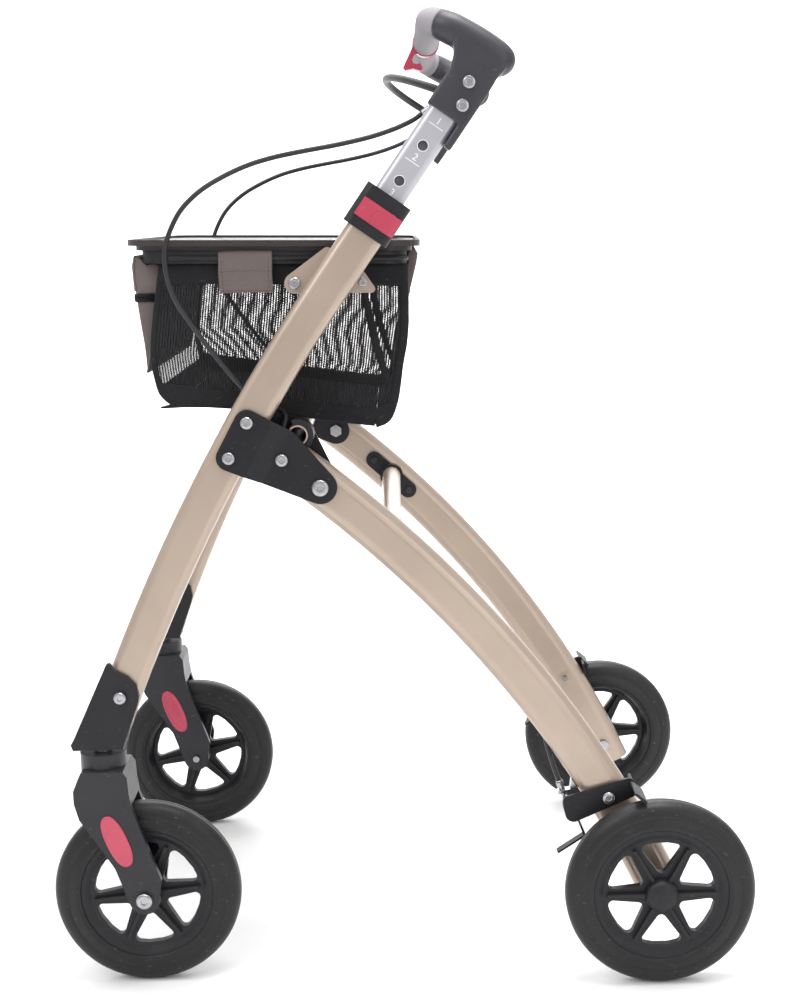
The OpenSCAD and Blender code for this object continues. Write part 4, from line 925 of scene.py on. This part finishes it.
@dataclass
class Buttons:
    """The raised round mark on each height button."""

    shop: Workshop
    ring_r: float = 7.0 * MM

    def build(self) -> None:
        """Builds the ring on each button's outer face."""
        for side, sign in SIDES.items():
            low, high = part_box(f"button_{side}")
            x = high.x if sign > 0 else low.x
            y, z = (low.y + high.y) / 2, (low.z + high.z) / 2
            profile = [(self.ring_r - 0.8 * MM, -0.4 * MM), (self.ring_r - 0.4 * MM, 0.35 * MM),
                       (self.ring_r + 0.4 * MM, 0.35 * MM), (self.ring_r + 0.8 * MM, -0.4 * MM)]
            ring = lathe(f"button_ring_{side}", [(r, sign * o) for r, o in profile], x, y, z, 64)
            self.shop.fit(ring, f"button_{side}", "red_plastic")


@dataclass
class Cables:
    """The brake cables, each one smooth run from the handle to the adjuster at the rear wheel."""

    shop: Workshop
    diameter: float = 5 * MM
    upper: tuple = ((-13, 41.4, 863.4), (-12, 32, 857), (-10, 13, 849), (-8, -11, 842), (-6, -41, 836),
                    (-5, -73, 831), (-5, -101, 826), (-5, -127, 819), (-5, -153, 808), (-5, -175, 795),
                    (-6, -193, 778), (-7, -205, 757), (-8, -210, 740), (-10, -210, 720), (-12, -204, 696),
                    (-14, -192, 674), (-16, -176, 650), (-17.5, -158, 625), (-19.5, -140, 603),
                    (-21, -126, 589), (-20, -114, 583), (-16, -105, 582.5), (-9, -100, 577), (-5, -102, 566),
                    (-5, -108, 552), (-5, -113.5, 540), (-5, -111, 532), (-5, -107, 526.5))
    lower: tuple = ((565, -13), (532, -13), (495, -12), (450, -13), (400, -13), (350, -13), (300, -13),
                    (250, -13), (222, -14), (200, -17), (186, -20), (176, -24))
    barrel: Pair = (168.161 * MM, 183.051 * MM)
    barrel_tilt: float = math.radians(19)

    def build(self) -> None:
        """Builds the four runs."""
        for side, sign in SIDES.items():
            up = smooth_path([(sign * (WALKER.tube_x + x * MM), y * MM, z * MM) for x, y, z in self.upper], 3 * MM)
            run = self.shop.fit(tube(f"brake_cable_upper_{side}", up, self.diameter / 2, 12), "frame", "cable_jacket",
                                replaces=["brake_cables_upper"])
            del run["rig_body"]
            run.parent = None
            tuple(up[-120])
            tuple(up[0])
            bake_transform(run)
            end = [(sign * WALKER.leg_x, self.barrel[0] - k * MM * math.sin(self.barrel_tilt),
                    self.barrel[1] + k * MM * math.cos(self.barrel_tilt)) for k in (32, 24, 16.2)]
            low = smooth_path([(sign * WALKER.leg_x, *WALKER.on_leg(a * MM, o * MM))
                               for a, o in self.lower] + end, 3 * MM)
            self.shop.fit(tube(f"brake_cable_lower_{side}", low, self.diameter / 2, 12), "rear_legs", "cable_jacket",
                          replaces=["brake_cables_lower"])


@dataclass
class Basket:
    """The shopping bag of open knit under the tray, with its bands, tapes, pocket, tabs and flap."""

    shop: Workshop
    half: float = 180.2 * MM
    front: tuple = ((-217.5, 727.6), (-224, 690), (-230.6, 642), (-226.5, 607), (-219.5, 595), (-211, 588.6))
    rear: tuple = ((19.4, 721), (18.6, 660), (12, 620), (6.5, 588), (-1, 569.5), (-13, 564))
    floor: tuple = ((-211, 588.6), (-150, 584.6), (-40, 567.8), (-13, 564))
    band: tuple = ((-232, 612), (-150, 598.6), (-40, 581.8), (-13, 578), (30, 600))
    tab_line: tuple = ((-185.5, 737.2), (-188.2, 737.8), (-190.2, 735.2), (-190.9, 730), (-190.8, 720),
                       (-190.5, 708), (-190.2, 697.4))
    layer: float = 0.5 * MM

    def wall_point(self, u: float, v: float) -> Pair:
        """Gives a point of the side wall, u from front to rear and v from rim to floor."""
        (y0, z0), (y1, z1) = along_line(self.front, v), along_line(self.rear, v)
        y, z = mix(y0, y1, u) * MM, mix(z0, z1, u) * MM
        low = height_on(self.floor, min(max(mix(y0, y1, u), -211), -13)) * MM
        return y, z + (low - mix(588.6, 564, u) * MM) * v ** 3

    def slack(self, u: float, v: float, seed: float) -> float:
        """Gives how far the cloth sags inwards, with its folds."""
        hang = 4.5 * MM * math.sin(math.pi * u) * math.sin(math.pi * v ** 0.8)
        fold = 2.4 * MM * noise(Vector((u * 7 + seed, v * 2.2, seed)))
        return hang + fold * min(1.0, 6 * u, 6 * (1 - u)) * min(1.0, 5 * v, 4 * (1 - v))

    def band_share(self, u: float) -> float:
        """Gives how far down the side wall its lower band starts."""
        low, high = 0.0, 1.0
        for _ in range(18):
            v = (low + high) / 2
            y, z = self.wall_point(u, v)
            low, high = (v, high) if z > height_on(self.band, y / MM) * MM else (low, v)
        return low

    def side_walls(self) -> None:
        """Builds each side wall: the hem at the rim, the open knit, and the closed band below."""
        for side, sign in SIDES.items():
            def place(u: float, v: float, out: float = 0.0) -> Point:
                y, z = self.wall_point(u, v)
                return (sign * (self.half - self.slack(u, v, sign * 3.0) + out), y, z)

            net = patch(f"bag_net_{side}", lambda u, v: place(u, mix(0.02, self.band_share(u) + 0.02, v)), 90, 40,
                        (0.238, 0.122))
            band = patch(f"bag_band_{side}", lambda u, v: place(u, mix(self.band_share(u), 1.0, v), 0.7 * MM), 90, 24,
                         (0.226, 0.017), self.layer)
            hem = patch(f"bag_hem_{side}", lambda u, v: place(u, mix(0.0, 0.13, v), 0.8 * MM), 60, 6,
                        (0.237, 0.02), self.layer)
            for piece, slot, cut in ((net, "basket_mesh", (0.238, 0.122)), (band, "black_cloth", (0.226, 0.017)),
                                     (hem, "black_cloth", (0.237, 0.02))):
                self.shop.fit(piece, "basket", slot, "basket_mesh", replaces=["basket_bag"])

    def belt(self) -> None:
        """Builds the front wall, the floor and the rear wall."""
        def ease(line: Sequence[Pair], inset: float, seed: float) -> Callable[[float, float], Point]:
            """Gives the rule that places a wall along a line, with soft folds."""
            def place(u: float, v: float) -> Point:
                y, z = along_line(line, v)
                sag = inset * MM * math.sin(math.pi * u) * math.sin(math.pi * v)
                fold = 1.6 * MM * noise(Vector((u * 9 + seed, v * 3, seed))) * math.sin(math.pi * v)
                return (mix(-self.half, self.half, u), y * MM + sag + fold, z * MM - 0.3 * abs(sag))
            return place

        width = 2 * self.half
        for name, line, inset, slot in (("bag_front", self.front, 2.5, "basket_mesh"),
                                        ("bag_rear", self.rear, -5, "basket_mesh"),
                                        ("bag_floor", self.floor, 0, "black_cloth")):
            length = sum(math.dist(a, b) for a, b in zip(line, line[1:])) * MM
            thick = self.layer if slot == "black_cloth" else 0.0
            piece = patch(name, ease(line, inset, len(name)), 72, 30, (width, length), thick)
            self.shop.fit(piece, "basket", slot, "basket_mesh", replaces=["basket_bag"])
        for name, line, share in (("bag_front_band", self.front, 0.84), ("bag_rear_band", self.rear, 0.72)):
            length = sum(math.dist(a, b) for a, b in zip(line, line[1:])) * MM * (1 - share)
            out = -0.7 if "front" in name else 0.7

            def place(u: float, v: float, line: Sequence[Pair] = line, share: float = share,
                      out: float = out) -> Point:
                y, z = along_line(line, mix(share, 1.0, v))
                return (mix(-self.half, self.half, u), (y + out) * MM, z * MM)

            piece = patch(name, place, 60, 12, (width, length), self.layer)
            self.shop.fit(piece, "basket", "black_cloth", "basket_mesh")

    def tapes(self) -> None:
        """Builds the binding tapes on the bag's edges and the folded seams at its rear."""
        for side, sign in SIDES.items():
            x = sign * (self.half - 0.4 * MM)
            parts = []
            for k, line in enumerate((self.front, self.floor, self.rear)):
                pts = smooth_path([(x + sign * 0.5 * MM * noise(Vector((a * 0.05, b * 0.05, k))), a * MM, b * MM)
                                   for a, b in line], 4 * MM)
                width = (3.2, 2.8, 4.6)[k] * MM
                radii = [width * (1 + 0.12 * noise(Vector((p.y * 60, p.z * 60, 5.0 * k)))) for p in pts]
                parts.append(tube("tape", pts, radii, 12, (sign, 0, 0.02), 0.42))
            fold = smooth_path([(x - sign * 1.0 * MM, a * MM, b * MM) for a, b in
                                ((-24, 716), (-19, 690), (-14, 664), (-9, 640), (-1, 612), (6, 590), (0, 575))], 4 * MM)
            widths = [mix(4.2, 2.6, abs(2 * i / len(fold) - 0.9)) * MM for i in range(len(fold))]
            parts.append(tube("fold", fold, widths, 12, (sign, 0, 0.02), 0.35))
            fin = smooth_path([(x - sign * 1.5 * MM, a * MM, b * MM)
                               for a, b in ((-188, 590), (-206, 588), (-219, 586.5), (-226.5, 585.6))], 3 * MM)
            taper = [mix(4.6, 0.6, i / len(fin)) * MM for i in range(len(fin))]
            parts.append(tube("fin", fin, taper, 10, (sign, 0, 0.02), 0.4))
            self.shop.fit(joined(f"bag_tape_{side}", parts), "basket", "black_cloth", "basket_mesh")

    def stuffed(self, name: str, outline: Sequence[Pair], half: float, puff: float, outer: Callable[[Pair], bool],
                replaces: str) -> bpy.types.Object:
        """Builds a closed soft piece from its outline seen from the side.

        Args:
            name: The piece's name.
            outline: Its points in Y and Z, in millimetres.
            half: How far it reaches to each side.
            puff: How far its outer face swells and dips, in millimetres.
            outer: Says which points lie on its outer face.
            replaces: The part that it stands for.

        Returns:
            The piece.
        """
        n, stations = len(outline), 44
        cy, cz = (sum(p[k] for p in outline) / n for k in (0, 1))
        verts, uvs, run = [], [], [0.0]
        for a, b in zip(outline, outline[1:] + outline[:1]):
            run.append(run[-1] + math.dist(a, b) * MM)
        for i in range(stations + 1):
            t = 2 * i / stations - 1
            close = 1 - 0.05 * max(0.0, (abs(t) - 0.95) / 0.05) ** 2
            for k, (y, z) in enumerate(outline):
                swell = puff * (noise(Vector((t * 4, z * 0.03, 2.0))) - 0.3) * (1 - t ** 6) if outer((y, z)) else 0.0
                verts.append((t * half, (cy + (y - cy) * close + swell) * MM,
                              (cz + (z - cz) * mix(1, close, 0.5)) * MM))
                uvs.append((t * half, run[k]))
        body = face_outwards(make_object(name, verts, stack_faces(n, stations + 1), uvs))
        end_uv(body, half)
        bevel = body.modifiers.new("soft seams", "BEVEL")
        bevel.width, bevel.segments, bevel.angle_limit = 1.2 * MM, 3, math.radians(40)
        baked(body).data.shade_smooth()
        self.shop.fit(body, "basket", "taupe_fabric", replaces=[replaces])
        return body

    def pocket(self) -> None:
        """Builds the front pocket, its flap, its zip and its piping."""
        half = 168 * MM
        outline = [(-234.2, 727.5), (-241, 735), (-246.4, 735.6), (-248.8, 726), (-248.2, 712), (-247.4, 702),
                   (-246.8, 694), (-245.4, 681), (-243.4, 664), (-241.4, 649), (-240.2, 634), (-239.6, 618.5),
                   (-236.5, 621), (-233.2, 632), (-231.8, 645), (-226.4, 680), (-221.6, 705), (-217.8, 726),
                   (-226, 729)]
        self.stuffed("pocket_front", outline, half, 1.3, lambda p: p[0] < -238, "basket_pocket")
        def over(u: float, v: float) -> Point:
            """Places a point of the flap, u across and v down."""
            y, z = along_line(((-246.8, 735.8), (-249.2, 726), (-248.4, 712), (-247.8, 701)), v)
            return (mix(-half + 4 * MM, half - 4 * MM, u), (y - 0.4 - 0.6 * math.sin(9 * u) * v) * MM, z * MM)

        flap = patch("pocket_flap", over, 64, 12, (2 * half - 8 * MM, 0.036), 0.8 * MM)
        self.shop.fit(flap, "basket", "taupe_fabric")
        parts = []
        for sign in (-1, 1):
            seam = smooth_path([(sign * (half + 0.4 * MM), y * MM, z * MM) for y, z in
                                ((-221.5, 724), (-225, 705), (-229.4, 680), (-234, 650), (-236.6, 632),
                                 (-239.4, 620))], 4 * MM)
            parts.append(tube("piping", seam, 1.1 * MM, 8))
            parts.append(tube("piping", smooth_path([(sign * (half + 0.2 * MM), y * MM, z * MM) for y, z in
                              ((-246.2, 733), (-247.6, 724), (-246.6, 702))], 4 * MM), 0.8 * MM, 8))
        self.shop.fit(joined("pocket_piping", parts), "basket", "taupe_fabric")
        level = 0.6945
        near = [(half - 3 * MM, -0.2477, level), (half + 1.2 * MM, -0.2440, level), (half + 1.0 * MM, -0.2282, level)]
        zip_path = [(-x, y, z) for x, y, z in reversed(near)] + near
        tape = tube("zip_tape", zip_path, 1.3 * MM, 10, (0, 0, 1), 3.4)
        self.shop.fit(tape, "basket", "black_cloth", "taupe_fabric")
        row = [(x * 1.008, y - 0.0016 if abs(x) < half - 0.0035 else y, z) for x, y, z in zip_path]
        teeth = stitches("zip_teeth", [row],
                         self.shop.material("black_screw"), 1.6 * MM, 1.0 * MM, 2.6 * MM)
        self.shop.fit(teeth, "basket", "black_screw", "taupe_fabric")

    def tabs(self) -> None:
        """Builds the fold-over tab on each side and the flap at the rear, with their stitching."""
        thread = self.shop.material("taupe_thread")
        for side, sign in SIDES.items():
            def place(u: float, v: float, sign: int = sign) -> Point:
                x, z = along_line(self.tab_line, v)
                wave = 0.5 * math.sin(5 * u + 3 * v)
                return (sign * (-x + wave * v) * MM, mix(-161.3, -108.7, u + 0.006 * math.sin(8 * v)) * MM,
                        (z + 0.5 * math.sin(4 * u)) * MM)

            tab = patch(f"strap_tab_{side}", place, 26, 22, (0.0526, 0.046), 1.6 * MM)
            self.shop.fit(tab, "basket", "taupe_fabric", replaces=["basket_tabs"])
            off = 1.0 * MM
            rows = []
            for u0, v0, u1, v1 in ((0.07, 0.30, 0.07, 0.95), (0.93, 0.30, 0.93, 0.95),
                                   (0.07, 0.95, 0.93, 0.95), (0.03, 0.52, 0.97, 0.52)):
                pts = [Vector(place(mix(u0, u1, k / 16), mix(v0, v1, k / 16))) for k in range(17)]
                rows.append([(p.x + sign * off, p.y, p.z) for p in pts])
            self.shop.fit(stitches(f"tab_stitches_{side}", rows, thread, 3.0 * MM, 2.1 * MM, 0.6 * MM),
                          "basket", "taupe_thread", "taupe_fabric")
        line = ((24.2, 729), (27.4, 735.4), (31.6, 735.2), (34.6, 730), (32.4, 719), (29.6, 708), (26.6, 697),
                (23.6, 687))
        half = 150 * MM
        outline = [(20.6, 687), (20.6, 719), (24.2, 720), (24.4, 731), (28, 735.4), (32, 735), (34.8, 730),
                   (32.6, 719), (29.6, 708), (26.6, 697), (24, 686.2)]
        self.stuffed("rear_flap", outline, half, 0.8, lambda p: p[0] > 26, "basket_tabs")
        rows = [[(mix(-half, half, k / 60) * 0.985, (along_line(line, v)[0] + 1.1) * MM, along_line(line, v)[1] * MM)
                 for k in range(61)] for v in (0.45, 0.94)]
        self.shop.fit(stitches("rear_flap_stitches", rows, thread), "basket", "taupe_thread", "taupe_fabric")

    def build(self) -> None:
        """Builds the whole bag."""
        self.side_walls()
        self.belt()
        self.tapes()
        self.pocket()
        self.tabs()
        for side, sign in SIDES.items():
            rail = smooth_path([(sign * x * MM, y * MM, z * MM) for x, y, z in
                                ((178, -215, 733.5), (186.2, -209, 733.2), (187.6, -196, 732.8), (187.6, -80, 729.6),
                                 (187.6, 8, 727.2), (186.2, 18, 726.9), (178, 22.5, 726.8))], 4 * MM)
            self.shop.fit(tube(f"basket_rail_{side}", rail, 2.7 * MM, 16), "basket", "black_plastic")


@dataclass
class Screws:
    """The socket heads of the screws and bolts, one on each head of the frame's fasteners."""

    shop: Workshop
    groups: tuple = (("frame_screws", "frame"), ("pivot_bolts", "frame"), ("handle_screws", "handlebar"),
                     ("brake_pivots", "rear_legs"), ("front_axle_left", "caster_left"),
                     ("front_axle_right", "caster_right"), ("flange_screws", "rear_legs"))
    nominal: float = 6 * MM
    sides: int = 24
    widest_head: float = 12 * MM
    shortest: float = 3 * MM

    def heads(self, node: str) -> list[tuple[Vector, float, int]]:
        """Finds the heads on a node: the middle of each outer face, its radius and the side that it faces."""
        bm = bmesh.new()
        bm.from_mesh(frame["nodes"][node].data)
        bmesh.ops.remove_doubles(bm, verts=bm.verts, dist=1e-5)
        left, found = set(bm.verts), []
        while left:
            island, edge = set(), [left.pop()]
            while edge:
                v = edge.pop()
                island.add(v)
                near = {e.other_vert(v) for e in v.link_edges} & left
                left -= near
                edge += near
            xs = [v.co.x for v in island]
            for end in (min(xs), max(xs)):
                ring = [v.co for v in island if abs(v.co.x - end) < 5e-5]
                mid = Vector((end, (min(c.y for c in ring) + max(c.y for c in ring)) / 2,
                              (min(c.z for c in ring) + max(c.z for c in ring)) / 2))
                found.append((mid, max((c - mid).length for c in ring), 1 if end == max(xs) else -1,
                              max((v.co.yz - mid.yz).length for v in island), max(xs) - min(xs)))
        bm.free()
        found.sort(key=lambda head: (*(round(c, 5) for c in head[0]), head[2]))
        return [(m, r, d) for m, r, d, widest, length in found
                if widest * 0.6 < r < self.widest_head and length > self.shortest]

    def head(self, r: float) -> bpy.types.Object:
        """Builds one button head about X with a six-sided socket."""
        rings = [(r * 0.97, -0.3), (r * 0.97, 0.05), (r * 0.90, 0.55), (r * 0.74, 0.9), (r * 0.52, 1.0),
                 (r * 0.46, 0.9)]
        turns, verts = [2 * math.pi * k / self.sides for k in range(self.sides)], []
        for radius, lift in rings:
            verts += [(lift * MM, radius * math.cos(a), radius * math.sin(a)) for a in turns]
        for radius, lift in ((r * 0.46, 0.85), (r * 0.44, -0.1)):
            for a in turns:
                flat = math.cos(math.pi / 6) / math.cos((a % (math.pi / 3)) - math.pi / 6)
                verts.append((lift * MM, radius * flat * math.cos(a), radius * flat * math.sin(a)))
        faces = stack_faces(self.sides, len(rings) + 2)
        return face_outwards(make_object("head", verts, faces, smooth=False))

    def build(self) -> None:
        """Puts a head on every screw."""
        for node, body in self.groups:
            found = self.heads(node)
            if not found:
                continue
            head = self.head(self.nominal)
            slot = "black_screw" if node == "flange_screws" else "steel"
            piece = set_heads(f"{node}_heads", found, self.nominal, head, self.shop.material(slot))
            bpy.data.objects.remove(head)
            self.shop.fit(piece, body, slot)


def end_uv(obj: bpy.types.Object, half: float) -> None:
    """Lays the cloth pattern of a piece's end faces flat on them.

    Args:
        obj: The piece.
        half: How far out its ends are, along X.
    """
    layer = obj.data.uv_layers[0]
    for poly in obj.data.polygons:
        if abs(poly.normal.x) > 0.7:
            for k in poly.loop_indices:
                p = obj.data.vertices[obj.data.loops[k].vertex_index].co
                layer.data[k].uv = (p.y + half, p.z)


@dataclass
class Studio:
    """The pale floor, the soft lights and the camera."""

    effects: Effects
    eye: Point = (1.8125, 0.0134, 0.7696)
    pitch: float = math.radians(9.87)
    yaw: float = -0.0023
    roll: float = -0.0284
    lens: float = 59.19
    air: float = 0.72
    lights: tuple = (("key", (1.6, -1.5, 2.4), (0, 0, 0.45), 1.8, 26.0),
                     ("fill", (2.4, 1.8, 1.3), (0, 0, 0.45), 2.0, 12.0),
                     ("top", (0.2, 0.3, 2.8), (0, 0, 0.45), 1.4, 60.0),
                     ("back", (-3.6, 0.0, 3.2), (-5.0, 0, 0.8), 3.0, 130.0),
                     ("floor", (-2.2, 0.0, 2.6), (-2.6, 0, 0.0), 3.0, 60.0))

    def floor(self) -> None:
        """Builds the floor with a curved rise behind."""
        line = [(9.0, 0.0), (-3.4, 0.0), (-4.0, 0.05), (-4.6, 0.3), (-4.9, 0.8), (-5.0, 1.6), (-5.0, 7.0)]
        sheet = make_object("studio_floor", [(x, y, z) for x, z in line for y in (-8.0, 8.0)],
                            [(2 * i, 2 * i + 1, 2 * i + 3, 2 * i + 2) for i in range(len(line) - 1)])
        finish = Finish("Studio paper", (0.92, 0.92, 0.92), (0.90, 0.90, 0.90), 0.9, dust=0.0, scuffs=0.0, bump=0.0)
        sheet.data.materials.append(finish.material(self.effects))

    def light(self) -> None:
        """Sets the soft lights and the pale surroundings."""
        for name, place, aim, size, power in self.lights:
            lamp = bpy.data.lights.new(name, "AREA")
            lamp.shape, lamp.size, lamp.energy = "DISK", size, power
            obj = bpy.data.objects.new(name, lamp)
            obj.location = place
            obj.rotation_euler = (Vector(aim) - Vector(place)).to_track_quat("-Z", "Y").to_euler()
            bpy.context.scene.collection.objects.link(obj)
        world = bpy.data.worlds.new("Studio air")
        world.use_nodes = True
        world.node_tree.nodes["Background"].inputs[0].default_value = (1, 1, 1, 1)
        world.node_tree.nodes["Background"].inputs[1].default_value = self.air
        bpy.context.scene.world = world
        bpy.context.scene.view_settings.view_transform = "Standard"

    def camera(self) -> None:
        """Sets the camera."""
        cp, sp = math.cos(self.pitch), math.sin(self.pitch)
        ahead = Vector((-math.cos(self.yaw) * cp, math.sin(self.yaw) * cp, -sp))
        right = Vector((math.sin(self.yaw), math.cos(self.yaw), 0))
        up = right.cross(ahead)
        c, s = math.cos(self.roll), math.sin(self.roll)
        right, up = right * c + up * s, up * c - right * s
        data = bpy.data.cameras.new("camera")
        data.lens, data.sensor_width = self.lens, 36.0
        camera = bpy.data.objects.new("camera", data)
        camera.matrix_world = Matrix((right, up, -ahead)).transposed().to_4x4()
        camera.location = self.eye
        bpy.context.scene.collection.objects.link(camera)
        bpy.context.scene.camera = camera

    def build(self) -> None:
        """Sets the whole studio."""
        self.camera()
        self.floor()
        self.light()


def main() -> None:
    """Builds the walker's looks around its frame."""
    logging.basicConfig(level=logging.INFO, format="%(message)s")
    shop = Workshop()
    Studio(shop.effects).build()
    shop.dress_frame()
    Cables(shop).build()
    Wheels(shop).build()
    Forks(shop).build()
    Handlebar(shop).build()
    Buttons(shop).build()
    Basket(shop).build()
    Screws(shop).build()


if __name__ == "__main__":
    main()
